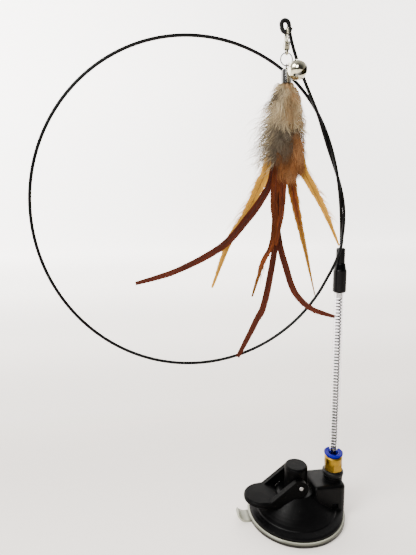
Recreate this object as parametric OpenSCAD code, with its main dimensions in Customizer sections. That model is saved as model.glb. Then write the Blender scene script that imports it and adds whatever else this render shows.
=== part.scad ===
// Cat teaser wand on a lever-lock suction base, in millimetres.
// Origin: centre of the suction disc's underside, on the surface that it holds to. +Z is up.
// The lever points to -X, the wand stands at +X, and the rod's loop lies in the XZ plane.

/* [Gel disc] */
// Diameter of the gel disc
gel_d = 64.8; // [64:0.1:72]
// Height of the gel disc's rim
gel_h = 3.2; // [2.6:0.1:4]
// Width of the rim that holds to the surface
rim_w = 11.4; // [9:0.1:11.8]
// Thickness of the thin middle
membrane_t = 1.2; // [0.8:0.1:1.5]
// Length of the pull tab beyond the disc
tab_len = 8.3; // [6:0.1:12]
// Width of the pull tab
tab_w = 10; // [6:0.1:16]
// Thickness of the pull tab
tab_t = 1.4; // [1:0.1:2]

/* [Housing] */
// How far the skirt stays inside the gel disc's edge
skirt_inset = 1.2; // [0.5:0.1:2.5]
// Height of the skirt's upright edge
skirt_edge_h = 1.6; // [1:0.1:2.4]
// Width of the skirt, outside the dome's foot
skirt_w = 4.9; // [3.5:0.1:6]
// Height of the dome's foot above the gel disc
foot_h = 3.6; // [3:0.1:4.5]
// Height of the dome above its foot
dome_h = 11.4; // [10:0.1:13]
// Diameter of the flat on top that the lever's cams bear on
seat_d = 23; // [22.4:0.1:25]
// Wall of the housing
wall = 2.4; // [1.8:0.1:3]
// Where the tower block begins, from the stem's axis
block_start = 9.6; // [9:0.1:12]
// Width of the tower block
block_w = 21; // [18:0.1:22]
// Height of the tower block above the cams' flat
block_rise = 5.5; // [3:0.1:8]
// Distance from the stem's axis to the wand's axis
wand_x = 26; // [25.4:0.1:27]
// Distance from the wand's axis to the block's outer face
block_past = 5.5; // [5.3:0.1:6]
// How far the round boss under the fitting stands above the block
boss_rise = 2; // [0.8:0.1:3]

/* [Stem and lever] */
// Gap round the stem's plate, inside the gel disc's rim
plate_gap = 2; // [1:0.1:4]
// Thickness of the stem's plate
plate_t = 2; // [1.5:0.1:2.6]
// Diameter of the post
post_d = 15.2; // [14:0.1:15.8]
// Height of the post above the cams' flat, with the lever down
post_rise = 17.3; // [15.5:0.1:19]
// How far the stem drops when the lever is lifted
stem_travel = 2; // [1:0.1:2]
// Diameter of the lever's pin
pin_d = 2.8; // [2:0.1:3.4]
// Height of the pin above the cams' flat, with the lever down
pin_rise = 7; // [6.8:0.1:7.6]
// Thickness of each lever cheek
cheek_t = 3.3; // [2.4:0.1:4]
// Distance from the stem's axis to the centre of the finger pad
pad_reach = 24.2; // [23:0.1:26]
// Thickness of the finger pad
pad_t = 3.8; // [3:0.1:4.4]

/* [Tube fitting] */
// Height of the ring under the fitting
seat_ring_h = 4.2; // [3:0.1:5]
// Diameter of the ring under the fitting
seat_ring_d = 13.8; // [12.6:0.1:15]
// Width of the hexagon across its flats
hex_af = 10.8; // [10:0.1:12]
// Height of the hexagon
hex_h = 5.5; // [4.8:0.1:7]
// Diameter of the round top of the fitting
round_d = 11.6; // [11:0.1:12.4]
// Height of the round top of the fitting
round_h = 4.2; // [3.8:0.1:6]
// Diameter of the threaded stub
stub_d = 7.8; // [6:0.1:8.4]
// Length of the threaded stub
stub_len = 11; // [8:0.1:12]
// Diameter of the release collar's flange
collar_d = 12.4; // [11:0.1:13]
// Thickness of the release collar's flange
collar_t = 1.2; // [0.8:0.1:2]
// How far the release collar can be pressed down
collar_travel = 1.2; // [0.6:0.1:1.3]

/* [Tube and spring] */
// Outer diameter of the clear tube
tube_od = 6; // [5.8:0.1:6.1]
// Inner diameter of the clear tube
tube_bore_d = 4; // [3.8:0.1:4.6]
// Length of the clear tube
tube_len = 123.3; // [80:0.1:150]
// Outer diameter of the spring
spring_od = 3.6; // [3:0.1:3.7]
// Diameter of the spring's wire
spring_wire_d = 0.6; // [0.4:0.05:0.8]
// Distance from one curl of the spring to the next
spring_pitch = 2.1; // [1.8:0.1:4]

/* [Boot] */
// Length of the boot
boot_len = 28; // [24:0.1:36]
// Diameter of the boot's lower part
boot_d = 8.2; // [7.4:0.1:9]
// Length of the boot's lower part
boot_body_len = 14.5; // [10:0.1:16]
// Diameter of the boot's neck
boot_neck_d = 5.5; // [4.4:0.1:5.6]
// Length of the slope between body and neck
boot_slope_len = 3.4; // [2:0.1:5]
// How far the tube reaches up into the boot
boot_grip = 2; // [1.5:0.1:6]

/* [Spring rod] */
// Diameter of the rod
rod_d = 1.5; // [1.2:0.1:1.6]
// Radius of the rod's loop
loop_r = 91.1; // [84:0.1:100]
// How much taller the loop is than it is wide
loop_tall = 1.025; // [1:0.005:1.06]
// How far the loop's right side reaches past the wand's axis
loop_past = 1; // [0:0.1:4]
// Distance between the centres of the wound runs
wrap_r = 1.85; // [1.8:0.05:2.4]

/* [End eye] */
// Outer diameter of the eye's ribbed sleeve
sleeve_d = 2.1; // [2:0.1:2.2]
// Radius of the eye's bends, on the rod's centre line
eye_r = 2.25; // [2.2:0.05:2.6]
// Length of the eye's straight sides
eye_side = 1.8; // [1.6:0.1:3]

/* [Clasp, ring and bell] */
// Diameter of the clasp's hook
hook_d = 1.1; // [0.9:0.05:1.15]
// Thickness of the clasp's body
clasp_t = 2.8; // [2.4:0.1:3.4]
// Radius of the jump ring, on its wire's centre line
ring_r = 3.3; // [3:0.1:4]
// Diameter of the jump ring's wire
ring_d = 0.6; // [0.5:0.05:0.65]
// Radius of the bell
bell_r = 5.1; // [4.6:0.1:5.4]
// Wall of the bell
bell_wall = 0.4; // [0.3:0.05:0.6]
// Diameter of the pellet in the bell
pellet_d = 4.8; // [4.6:0.1:5.2]

/* [Feather lure] */
// Diameter of the ferrule
ferrule_d = 5.8; // [5.4:0.1:5.9]
// Length of the ferrule
ferrule_len = 7.2; // [6:0.1:9]
// Thickness of the down plumes
plume_t = 12.4; // [12:0.1:13]
// Length of the lure below the ferrule
lure_len = 154.4; // [150:0.1:156]
// Diameter of a quill
quill_d = 0.84; // [0.6:0.02:0.9]
// Thickness of a feather's vane
vane_t = 0.8; // [0.5:0.05:0.9]

/* [Hidden] */
$fn = 48;
// A cut runs this far past the solid that it cuts
over = wall / 4;
// Clearance of a part that runs in a bore, and of a pin in its hole
run_gap = boot_grip * 0.03;
pin_gap = run_gap / 3;
// Clearance between parts that pass each other
pass_gap = 5 * run_gap;

// Gel disc and membrane
membrane_d = gel_d - 2 * rim_w;
membrane_foot = membrane_t / 4;
membrane_top = membrane_foot + stem_travel + membrane_t;
tab_bend_r = tab_len * 0.92;
tab_bend = 62;

// Housing
skirt_d = gel_d - 2 * skirt_inset;
foot_d = skirt_d - 2 * skirt_w;
foot_z = gel_h + foot_h;
seat_z = foot_z + dome_h;
block_top = seat_z + block_rise;
boss_top = block_top + boss_rise;
guide_wall = wall * 0.8;
guide_len = dome_h * 0.7;
block_end = wand_x + block_past;
block_corner = block_w * 0.19;
block_inner_corner = block_corner / 2;
block_edge = block_w * 0.12;
boss_d = stub_d + 2 * wall;
boss_len = stub_len - seat_ring_h + wall;
window_w = block_w * 0.21;
window_h = block_w * 0.2;
window_deep = wall * 0.6;

// Stem and lever
plate_d = membrane_d - 2 * plate_gap;
plate_z = membrane_top;
post_top = seat_z + post_rise;
pin_z = seat_z + pin_rise;
post_edge = post_d * 0.11;
cam_gap = pass_gap;
cam_r = pin_rise - cam_gap - 0.13 * pin_rise;
cam_back = pin_rise * 0.137;
cam_drop = pin_rise * 0.13;
hub_r = pin_rise * 0.62;
hub_back = pin_rise * 0.2;
cheek_in = post_d / 2 + pass_gap;
cheek_out = cheek_in + cheek_t;
pad_top = pin_z - pin_rise * 1.16;
arm_tip_x = pad_reach - cheek_out * 0.45;
arm_tip_r = pad_t * 0.55;
pad_edge = pad_t * 0.28;
dome_clear = pass_gap;

// Fitting
ring_top = boss_top + seat_ring_h;
stub_bore_gap = pin_gap;
round_z = ring_top + hex_h;
fitting_top = round_z + round_h;
stop_z = ring_top + hex_h * 0.1;
through_d = tube_bore_d * 0.95;
seal_d = tube_od * 0.26;
seal_groove_d = tube_od + 2 * seal_d + 2 * run_gap;
seal_z = stop_z + seal_d * 1.15;
collar_bore_d = round_d * 0.8;
collar_neck_d = collar_bore_d - 3 * run_gap;
collet_floor = seal_z + seal_d;
grab_z = collet_floor + seal_d * 0.5;
grab_t = seal_d * 0.2;
collet_z = grab_z + seal_d * 0.5;
collet_h = seal_d * 0.5;
collar_z = fitting_top + collar_travel + pass_gap;
collar_neck_low = collet_z + collet_h + pass_gap + collar_travel;
collar_step = collar_t * 0.25;

// Tube, plug, boot
tube_z = stop_z + pass_gap;
tube_top = tube_z + tube_len;
plug_len = boot_grip * 2.75;
plug_cap_h = boot_grip;
plug_z = tube_top - plug_len;
boot_z = tube_top - boot_grip;
boot_top = boot_z + boot_len;
boot_edge = boot_d * 0.09;

// Spring in the tube: curls on one unbroken helix, with straight ends
spring_r = (spring_od - spring_wire_d) / 2;
spring_steps = 8;
spring_room = plug_z - tube_z - 2 * spring_wire_d - pass_gap;
spring_curls = min(100, floor(spring_room / spring_pitch));
spring_top = plug_z - spring_wire_d;
spring_low = spring_top - spring_curls * spring_pitch;

// Rod: a standing run, the loop, the wound run and the end run to the eye
loop_offset = loop_r - loop_past;
loop_x = wand_x - loop_offset;
loop_z = boot_top + loop_r * 0.2744;
join_angle = 60;
loop_end_angle = 333;
stand_pull = loop_r * 0.465;
wrap_start_share = 0.06;
wrap_end_share = 0.72;
loop_front = wrap_r * 1.42;

// Eye and everything that hangs from it
hang_x = wand_x - loop_offset * 0.4282;
hang_y = -8 / 1.85 * wrap_r;
hang_z = loop_z + loop_r * 1.0256;
eye_tilt = 8;
eye_shift = sleeve_d * 1.1;
eye_bar_share = 0.812;
eye_end_angle = 350;
sleeve_bore = rod_d * 1.13;
hook_gap = sleeve_d / 5;
hook_r = sleeve_d / 2 + hook_gap + hook_d / 2;
hook_end = 212;
arm_d = hook_d * 1.18;
barrel_r = hook_r * 0.95;
barrel_drop = hook_r * 3.12;
barrel_back = hook_r * 0.18;
barrel_foot_drop = hook_r * 3.91;
barrel_foot_r = hook_r * 0.56;
pivot_y = -hook_r * 0.36;
pivot_drop = hook_r * 3.07;
gate_tip_y = -hook_r * 0.9;
gate_tip_drop = hook_r * 1.04;
gate_d = hook_d * 0.86;
gate_t = clasp_t * 0.24;
slot_t = clasp_t * 0.46;
clasp_pin_d = hook_d * 0.62;
lug_drop = hook_r * 4.9;
lug_r = hook_r * 0.79;
lug_hole = hook_r * 0.52;
lug_t = clasp_t * 0.36;
ring_low = lug_hole * 0.37;
ring_z = hang_z - lug_drop - ring_low - ring_r;
loop_wire_d = ring_d * 0.84;
small_loop_r = ring_d * 1.58;
lure_pivot = ring_z - ring_r;
bell_angle = 64;
bell_tilt = 57;
bell_loop_r = ring_d * 2.2;
bell_drop = bell_r * 1.8;
slot_narrow = bell_r * 0.16;
slot_wide = bell_r * 0.74;
slot_far_share = 0.66;
slot_near_share = 0.84;
ferrule_top = lure_pivot - small_loop_r * 2;
ferrule_low = ferrule_top - ferrule_len;
ferrule_wall = ferrule_d * 0.06;
ferrule_edge = ferrule_d * 0.12;
quill_circle = ferrule_d * 0.27;
quill_hole = quill_d + 2 * run_gap;
quill_channel = quill_d + 2 * pass_gap;
plume_gap = pass_gap / 2;
plume_len = lure_len * 0.279;
plume_w = lure_len * 0.2137;
plume_top = ferrule_low - plume_gap;

// Outline of the plumes, from the neck down: drop share, left share, right share, depth share
PLUME_SHARES = [[0, -0.07, 0.07, 0.36], [0.1, -0.17, 0.12, 0.56], [0.25, -0.3, 0.21, 0.8],
    [0.45, -0.41, 0.27, 0.94], [0.62, -0.49, 0.31, 1], [0.78, -0.6, 0.39, 1],
    [0.92, -0.59, 0.39, 0.86], [1, -0.4, 0.28, 0.6]];
plume_sides = 16;
plume_back = plume_t * 0.13;

// Long feathers: vane width, depth layer, then each point's [across share, drop share]
vane_wide = lure_len * 0.042;
layer_step = vane_t * 1.85;
YELLOW_LEFT_SHARES = [[-0.07, 0.287], [-0.096, 0.35], [-0.146, 0.45], [-0.21, 0.555], [-0.278, 0.72]];
BROWN_LEFT_SHARES = [[-0.052, 0.287], [-0.072, 0.36], [-0.135, 0.455], [-0.24, 0.565],
    [-0.4, 0.648], [-0.557, 0.693]];
RUST_CENTRE_SHARES = [[-0.038, 0.287], [-0.047, 0.394], [-0.046, 0.48], [-0.058, 0.562],
    [-0.09, 0.635], [-0.13, 0.757]];
RUST_SHORT_SHARES = [[-0.018, 0.287], [-0.021, 0.36], [-0.024, 0.44], [-0.037, 0.525], [-0.045, 0.565]];
RED_LONG_SHARES = [[-0.022, 0.287], [-0.029, 0.45], [-0.039, 0.578], [-0.074, 0.769],
    [-0.106, 0.851], [-0.183, 1]];
RED_RIGHT_SHARES = [[-0.026, 0.287], [-0.034, 0.42], [-0.024, 0.54], [0, 0.64],
    [0.04, 0.75], [0.106, 0.822], [0.206, 0.866]];
THIN_ORANGE_SHARES = [[0.018, 0.287], [0.03, 0.372], [0.053, 0.474], [0.08, 0.585], [0.124, 0.77]];
YELLOW_RIGHT_SHARES = [[0.06, 0.287], [0.09, 0.345], [0.125, 0.405], [0.16, 0.471], [0.21, 0.578]];
vane_rings = 4;

// Small vector and curve helpers
function unit(v) = v / norm(v);
function smooth(t) = t * t * (3 - 2 * t);
function bezier(a, b, c, d, t) = a * pow(1 - t, 3) + 3 * b * t * pow(1 - t, 2)
    + 3 * c * t * t * (1 - t) + d * pow(t, 3);
function spline(p, k, t) = let (a = p[max(k - 1, 0)], b = p[k], c = p[k + 1],
    d = p[min(k + 2, len(p) - 1)]) (2 * b + (c - a) * t + (2 * a - 5 * b + 4 * c - d) * t * t
    + (3 * b - a - 3 * c + d) * pow(t, 3)) / 2;
function tangent(p, k) = unit(p[min(k + 1, len(p) - 1)] - p[max(k - 1, 0)]);

// One ring of a swept tube. ref sets which way the half width lies.
function ring_points(p, k, ref, half_ref, half_side, sides) = let (t = tangent(p, k),
    n = unit(ref - (ref * t) * t), b = cross(t, n))
    [for (i = [0 : sides - 1]) p[k] + half_ref * cos(360 * i / sides) * n
        + half_side * sin(360 * i / sides) * b];
function wall_faces(rings, sides, first, flip) = [for (k = [0 : rings - 2], i = [0 : sides - 1])
    let (a = first + k * sides + i, b = first + k * sides + (i + 1) % sides)
    each (flip ? [[a, b + sides, a + sides], [a, b, b + sides]]
        : [[a, a + sides, b + sides], [a, b + sides, b]])];
function cap_faces(sides, first, flip) = [for (i = [1 : sides - 2])
    flip ? [first, first + i + 1, first + i] : [first, first + i, first + i + 1]];

// A solid rod or blade swept along points p
module swept(p, refs, half_refs, half_sides, sides) {
    rings = len(p);
    polyhedron(
        points = [for (k = [0 : rings - 1])
            each ring_points(p, k, refs[k], half_refs[k], half_sides[k], sides)],
        faces = concat(cap_faces(sides, 0, false), wall_faces(rings, sides, 0, false),
            cap_faces(sides, (rings - 1) * sides, true)), convexity = 10);
}

// A hollow sleeve swept along points p
module swept_sleeve(p, ref, outer, inner, sides) {
    rings = len(p);
    inside = rings * sides;
    ends = [for (i = [0 : sides - 1]) let (j = (i + 1) % sides, a = (rings - 1) * sides)
        each [[i, j, j + inside], [i, j + inside, i + inside],
            [a + i, a + j + inside, a + j], [a + i, a + i + inside, a + j + inside]]];
    polyhedron(
        points = concat(
            [for (k = [0 : rings - 1]) each ring_points(p, k, ref, outer, outer, sides)],
            [for (k = [0 : rings - 1]) each ring_points(p, k, ref, inner, inner, sides)]),
        faces = concat(wall_faces(rings, sides, 0, false),
            wall_faces(rings, sides, inside, true), ends), convexity = 10);
}

function same(value, count) = [for (i = [1 : count]) value];
// The least gap of a tube to itself, leaving out points that lie close along it
function self_gap(p, thick, apart) = min([for (i = [0 : len(p) - 1], j = [i + 1 : len(p) - 1])
    if (j - i > apart) norm(p[i] - p[j]) - thick]);

// Gel disc
module gel_tab_side() {
    root = gel_d / 2 - tab_t;
    bend_x = gel_d / 2 + tab_len - tab_bend_r * sin(tab_bend);
    polygon(concat([[-root, 0]],
        [for (a = [0 : tab_bend / 8 : tab_bend])
            [-bend_x - tab_bend_r * sin(a), tab_bend_r * (1 - cos(a))]],
        [for (a = [tab_bend : -tab_bend / 8 : 0])
            [-bend_x - (tab_bend_r - tab_t) * sin(a), tab_bend_r - (tab_bend_r - tab_t) * cos(a)]],
        [[-root, tab_t]]));
}

module gel_tab() {
    corner = tab_w * 0.3;
    tip = gel_d / 2 + tab_len;
    intersection() {
        rotate([90, 0, 0]) linear_extrude(tab_w, center = true) gel_tab_side();
        linear_extrude(tab_bend_r) union() {
            translate([-tip + corner, -tab_w / 2]) square([tip, tab_w]);
            translate([-tip, -tab_w / 2 + corner]) square([tip, tab_w - 2 * corner]);
            for (s = [-1, 1]) translate([-tip + corner, s * (tab_w / 2 - corner)]) circle(corner);
        }
    }
}

module gel_pad() {
    r = gel_d / 2;
    edge = gel_h * 0.2;
    color([0.88, 0.9, 0.84, 0.8]) union() {
        rotate_extrude($fn = 96) polygon([[membrane_d / 2, 0], [r - edge / 2, 0], [r, edge],
            [r, gel_h - edge], [r - edge, gel_h], [membrane_d / 2, gel_h]]);
        gel_tab();
    }
}

module gel_membrane() {
    r = membrane_d / 2 - pin_gap;
    low = membrane_foot;
    high = membrane_foot + stem_travel;
    color([0.88, 0.9, 0.84, 0.8]) rotate_extrude($fn = 96) polygon([[0, high], [plate_d / 2, high],
        [r - membrane_t / 2, low], [r, low],
        [r, low + membrane_t], [r - membrane_t / 2, low + membrane_t],
        [plate_d / 2, high + membrane_t], [0, high + membrane_t]]);
}

// The dome's outer line, raised or lowered by lift
function dome_line(lift, inset) = [for (t = [0 : 0.125 : 1])
    [seat_d / 2 + (foot_d - seat_d) / 2 * t - inset, foot_z + dome_h * pow(1 - t, 1.25) + lift]];

module dome_outer() {
    r = skirt_d / 2;
    edge = skirt_edge_h / 3;
    rotate_extrude($fn = 96) polygon(concat([[0, gel_h], [0, seat_z]], dome_line(0, 0),
        [[foot_d / 2 + edge, foot_z - edge], [r - 2 * edge, gel_h + skirt_edge_h + edge],
        [r, gel_h + skirt_edge_h], [r, gel_h]]));
}

module dome_inner() {
    rotate_extrude($fn = 96) polygon(concat([[0, gel_h - over], [0, seat_z - wall]],
        dome_line(-wall, wall / 3), [[skirt_d / 2 - wall * 1.2, foot_z - wall],
        [skirt_d / 2 - wall * 1.2, gel_h - over]]));
}

// An upright post with a rounded top edge, a corner of the tower block
module block_post(r, edge) {
    rotate_extrude($fn = 32) polygon(concat([[0, gel_h], [0, block_top]],
        [for (a = [90 : -22.5 : 0]) [r - edge + edge * cos(a), block_top - edge + edge * sin(a)]],
        [[r, gel_h]]));
}

module block_outer() {
    half = block_w / 2;
    hull() {
        for (s = [-1, 1]) {
            translate([block_end - block_corner, s * (half - block_corner), 0])
                block_post(block_corner, block_edge);
            translate([block_start + block_inner_corner, s * (half - block_inner_corner), 0])
                block_post(block_inner_corner, block_inner_corner);
        }
    }
}

module block_inner() {
    long = block_end - block_start - 2 * wall;
    wide = block_w - 2 * wall;
    translate([block_start + wall, -wide / 2, gel_h - over])
        cube([long, wide, block_top - gel_h - wall - block_edge / 2 + over]);
}

module housing() {
    color([0.13, 0.13, 0.13]) difference() {
        union() {
            difference() {
                union() {
                    dome_outer();
                    block_outer();
                }
                dome_inner();
                block_inner();
            }
            translate([0, 0, seat_z - guide_len])
                cylinder(r = post_d / 2 + run_gap + guide_wall, h = guide_len - wall / 2);
            translate([wand_x, 0, boss_top - boss_len]) cylinder(d = boss_d, h = boss_len);
        }
        translate([0, 0, gel_h]) cylinder(r = post_d / 2 + run_gap, h = seat_z, $fn = 96);
        translate([wand_x, 0, boss_top - boss_len - over])
            cylinder(r = stub_d / 2 + stub_bore_gap, h = boss_len + 2 * over);
        for (s = [-1, 1]) translate([wand_x - window_w, s * (block_w / 2) - window_deep, foot_z])
            cube([window_w, 2 * window_deep, window_h]);
    }
}

module suction_stem() {
    r = post_d / 2;
    rib_t = plate_t;
    color([0.16, 0.16, 0.16]) difference() {
        rotate_extrude($fn = 96) polygon(concat([[0, plate_z], [plate_d / 2, plate_z],
            [plate_d / 2, plate_z + plate_t * 0.6], [plate_d / 2 - plate_t * 0.4, plate_z + plate_t],
            [r + rib_t, plate_z + plate_t], [r, plate_z + plate_t + rib_t / 2]],
            [for (a = [0 : 15 : 90])
                [r - post_edge + post_edge * cos(a), post_top - post_edge + post_edge * sin(a)]],
            [[0, post_top]]));
        translate([0, 0, pin_z]) rotate([90, 0, 0])
            cylinder(r = pin_d / 2 + run_gap, h = post_d + 2 * over, center = true);
    }
}

// One cheek of the lever, from its outer to its inner face
module cheek(side) {
    translate([0, side * (cheek_in + cheek_t / 2), pin_z]) rotate([90, 0, 0]) hull() {
        translate([-cam_back, -cam_drop, 0]) cylinder(r = cam_r, h = cheek_t, center = true, $fn = 64);
        translate([-hub_back, cam_drop, 0]) cylinder(r = hub_r, h = cheek_t, center = true, $fn = 48);
        translate([-arm_tip_x, pad_top - pin_z - arm_tip_r, 0])
            cylinder(r = arm_tip_r, h = cheek_t, center = true, $fn = 32);
    }
}

// The round finger pad, run up to a bar between the cheeks
module finger_pad() {
    hull() {
        translate([-pad_reach, 0, pad_top - pad_t]) rotate_extrude($fn = 48)
            polygon([[0, 0], [cheek_out - pad_edge, 0], [cheek_out, pad_edge],
                [cheek_out, pad_t - pad_edge], [cheek_out - pad_edge, pad_t], [0, pad_t * 1.08]]);
        translate([-pad_reach + cheek_out * 0.9, 0, pad_top - arm_tip_r]) rotate([90, 0, 0])
            cylinder(r = arm_tip_r, h = 2 * cheek_out, center = true, $fn = 32);
    }
}

module lock_lever() {
    color([0.15, 0.15, 0.15]) difference() {
        union() {
            cheek(-1);
            cheek(1);
            finger_pad();
        }
        rotate_extrude($fn = 96) polygon(concat([[0, 0], [0, seat_z + dome_clear]],
            dome_line(dome_clear, -dome_clear / 2), [[foot_d / 2, 0]]));
        translate([0, 0, pin_z]) rotate([90, 0, 0])
            cylinder(r = pin_d / 2 + pin_gap, h = 2 * cheek_out + 2 * over, center = true);
    }
}

module lever_pin() {
    proud = pin_d * 0.1;
    bevel = pin_d * 0.08;
    color([0.9, 0.9, 0.9]) translate([0, 0, pin_z]) rotate([90, 0, 0])
        for (s = [-1, 1]) rotate([90 - s * 90, 0, 0]) rotate_extrude()
            polygon([[0, 0], [pin_d / 2, 0], [pin_d / 2, cheek_out + proud - bevel],
                [pin_d / 2 - bevel, cheek_out + proud], [0, cheek_out + proud]]);
}

// Ring with rounded edges
module seat_ring() {
    r = seat_ring_d / 2;
    edge = seat_ring_h * 0.4;
    color([0.1, 0.1, 0.1]) translate([wand_x, 0, boss_top]) rotate_extrude()
        polygon(concat([[stub_d / 2 + stub_bore_gap, 0], [r - edge, 0]],
            [for (a = [-90 : 22.5 : 0]) [r - edge + edge * cos(a), edge + edge * sin(a)]],
            [for (a = [0 : 22.5 : 90]) [r - edge + edge * cos(a), seat_ring_h - edge + edge * sin(a)]],
            [[stub_d / 2 + stub_bore_gap, seat_ring_h]]));
}

// Hexagon with its corners chamfered, round top, threaded stub and the bores inside
module fitting_body() {
    corner = hex_af / cos(30) / 2;
    bevel = (corner - hex_af / 2) * 0.7;
    edge = round_d * 0.06;
    groove = seal_d + 2 * run_gap;
    color([0.83, 0.66, 0.3]) translate([wand_x, 0, 0]) difference() {
        union() {
            intersection() {
                translate([0, 0, ring_top]) rotate([0, 0, 12]) cylinder(r = corner, h = hex_h, $fn = 6);
                rotate_extrude() polygon([[0, ring_top], [corner - bevel, ring_top],
                    [corner, ring_top + bevel], [corner, round_z - bevel / 2],
                    [corner - bevel, round_z], [0, round_z]]);
            }
            rotate_extrude() polygon([[0, ring_top - stub_len], [stub_d / 2, ring_top - stub_len],
                [stub_d / 2, round_z - edge], [round_d / 2, round_z - edge],
                [round_d / 2, fitting_top - edge], [round_d / 2 - edge, fitting_top], [0, fitting_top]]);
        }
        translate([0, 0, ring_top - stub_len - over])
            cylinder(d = through_d, h = stop_z - ring_top + stub_len + 2 * over);
        translate([0, 0, stop_z]) cylinder(r = tube_od / 2 + run_gap, h = fitting_top);
        translate([0, 0, seal_z - groove / 2]) cylinder(d = seal_groove_d, h = groove);
        translate([0, 0, collet_floor]) cylinder(d = collar_bore_d, h = fitting_top);
    }
}

module tube_seal() {
    color([0.08, 0.08, 0.08]) translate([wand_x, 0, seal_z]) rotate_extrude()
        translate([tube_od / 2 + run_gap + seal_d / 2, 0]) circle(d = seal_d);
}

module grab_ring() {
    inner = tube_od / 2 + run_gap;
    outer = collar_bore_d / 2 - pin_gap;
    color([0.75, 0.76, 0.78]) translate([wand_x, 0, collet_floor]) rotate_extrude()
        polygon([[inner, 0], [outer, grab_z - collet_floor], [outer, grab_z - collet_floor + grab_t],
            [inner, grab_t]]);
}

module collet_sleeve() {
    outer = collar_bore_d / 2 - pin_gap;
    color([0.75, 0.62, 0.35]) translate([wand_x, 0, grab_z + grab_t]) difference() {
        cylinder(r = outer, h = collet_z - grab_z + collet_h - grab_t);
        translate([0, 0, -over]) cylinder(r = tube_od / 2 + pass_gap, h = hex_h);
    }
}

module release_collar() {
    bore = tube_od / 2 + run_gap * 1.5;
    neck = collar_neck_d / 2;
    r = collar_d / 2;
    edge = collar_t * 0.2;
    top = collar_z + collar_t;
    color([0.13, 0.25, 0.85]) translate([wand_x, 0, 0]) rotate_extrude()
        polygon([[bore, collar_neck_low], [neck, collar_neck_low], [neck, collar_z],
            [r - edge, collar_z], [r, collar_z + edge], [r, top - edge], [r - edge, top],
            [r - 5 * edge, top], [r - 6 * edge, top - collar_step],
            [bore + 3 * edge, top - collar_step], [bore, top - 2 * collar_step]]);
}

module clear_tube() {
    color([0.9, 0.93, 0.95, 0.35]) translate([wand_x, 0, tube_z]) difference() {
        cylinder(d = tube_od, h = tube_len);
        translate([0, 0, -over]) cylinder(d = tube_bore_d, h = tube_len + 2 * over);
    }
}

// Spring: straight ends one wire thick, and curls in between
function spring_at(k) = let (a = 360 * k / spring_steps)
    [wand_x + spring_r * cos(a), spring_r * sin(a), spring_low + spring_pitch * k / spring_steps];

module tube_spring() {
    last = spring_curls * spring_steps;
    p = concat([spring_at(0) - [0, 0, spring_wire_d]], [for (k = [0 : last]) spring_at(k)],
        [spring_at(last) + [0, 0, spring_wire_d]]);
    refs = concat([[1, 0, 0]], [for (k = [0 : last]) [cos(360 * k / spring_steps),
        sin(360 * k / spring_steps), 0]], [[1, 0, 0]]);
    r = spring_wire_d / 2;
    echo(spring_curls = spring_curls, least_gap = self_gap(p, spring_wire_d, spring_steps / 2));
    color([0.7, 0.72, 0.74]) swept(p, refs, same(r, len(p)), same(r, len(p)), 6);
}

module wire_plug() {
    bore = rod_d / 2 + run_gap;
    body = tube_bore_d / 2 - run_gap;
    color([0.75, 0.75, 0.72]) translate([wand_x, 0, 0]) rotate_extrude()
        polygon([[bore, plug_z], [body, plug_z], [body, tube_top], [tube_od / 2, tube_top],
            [tube_od / 2, tube_top + plug_cap_h], [bore, tube_top + plug_cap_h]]);
}

module boot() {
    r = boot_d / 2;
    neck = boot_neck_d / 2;
    slope = boot_z + boot_body_len;
    inner = tube_od / 2 + pin_gap;
    bore = rod_d / 2 + run_gap;
    cap = tube_top + plug_cap_h;
    color([0.06, 0.06, 0.07]) translate([wand_x, 0, 0]) rotate_extrude()
        polygon([[inner, boot_z], [r - boot_edge, boot_z], [r, boot_z + boot_edge],
            [r, slope - boot_edge], [r - boot_edge / 2, slope], [neck + boot_edge / 2,
            slope + boot_slope_len], [neck, slope + boot_slope_len + boot_edge],
            [neck, boot_top - boot_edge], [neck - boot_edge, boot_top], [bore, boot_top],
            [bore, cap], [inner, cap]]);
}

// The rod's route
function loop_at(a, depth) = [loop_x + loop_r * cos(a), depth, loop_z + loop_r * loop_tall * sin(a)];
function loop_along(a) = unit([-sin(a), 0, loop_tall * cos(a)]);
function stand_at(t) = let (a = [wand_x, 0, boot_top], d = loop_at(join_angle, 0))
    bezier(a, a + [0, 0, stand_pull], d - stand_pull * loop_along(join_angle), d, t);
function wrap_at(t) = let (
    turn = 360 * (1 - (t - wrap_start_share) / (wrap_end_share - wrap_start_share)))
    stand_at(t) + wrap_r * [-sin(turn), -cos(turn), 0];
function eye_flat() = concat([[eye_r, 0], [eye_r, eye_side / 2]],
    [for (a = [0 : 22.5 : 180]) [eye_r * cos(a), eye_side + eye_r * sin(a)]], [[-eye_r, eye_side / 2]],
    [for (a = [180 : (eye_end_angle - 180) / 8 : eye_end_angle]) [eye_r * cos(a), eye_r * sin(a)]]);
function eye_points() = let (flat = eye_flat(), last = len(flat) - 1)
    [for (k = [0 : last]) let (u = flat[k][0], w = flat[k][1] + eye_r)
        [hang_x + u * cos(eye_tilt) - w * sin(eye_tilt),
        hang_y + eye_shift * (eye_bar_share - k / last),
        hang_z + u * sin(eye_tilt) + w * cos(eye_tilt)]];
eye_up = [-sin(eye_tilt), 0, cos(eye_tilt)];
wrap_first = wrap_at(wrap_start_share);
wrap_last = wrap_at(wrap_end_share);
wrap_away = unit(wrap_last - wrap_at(wrap_end_share - 0.03));
loop_last = loop_at(loop_end_angle, -loop_front);
loop_step = loop_r * 0.09;
rod_low = plug_z + rod_d;
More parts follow.
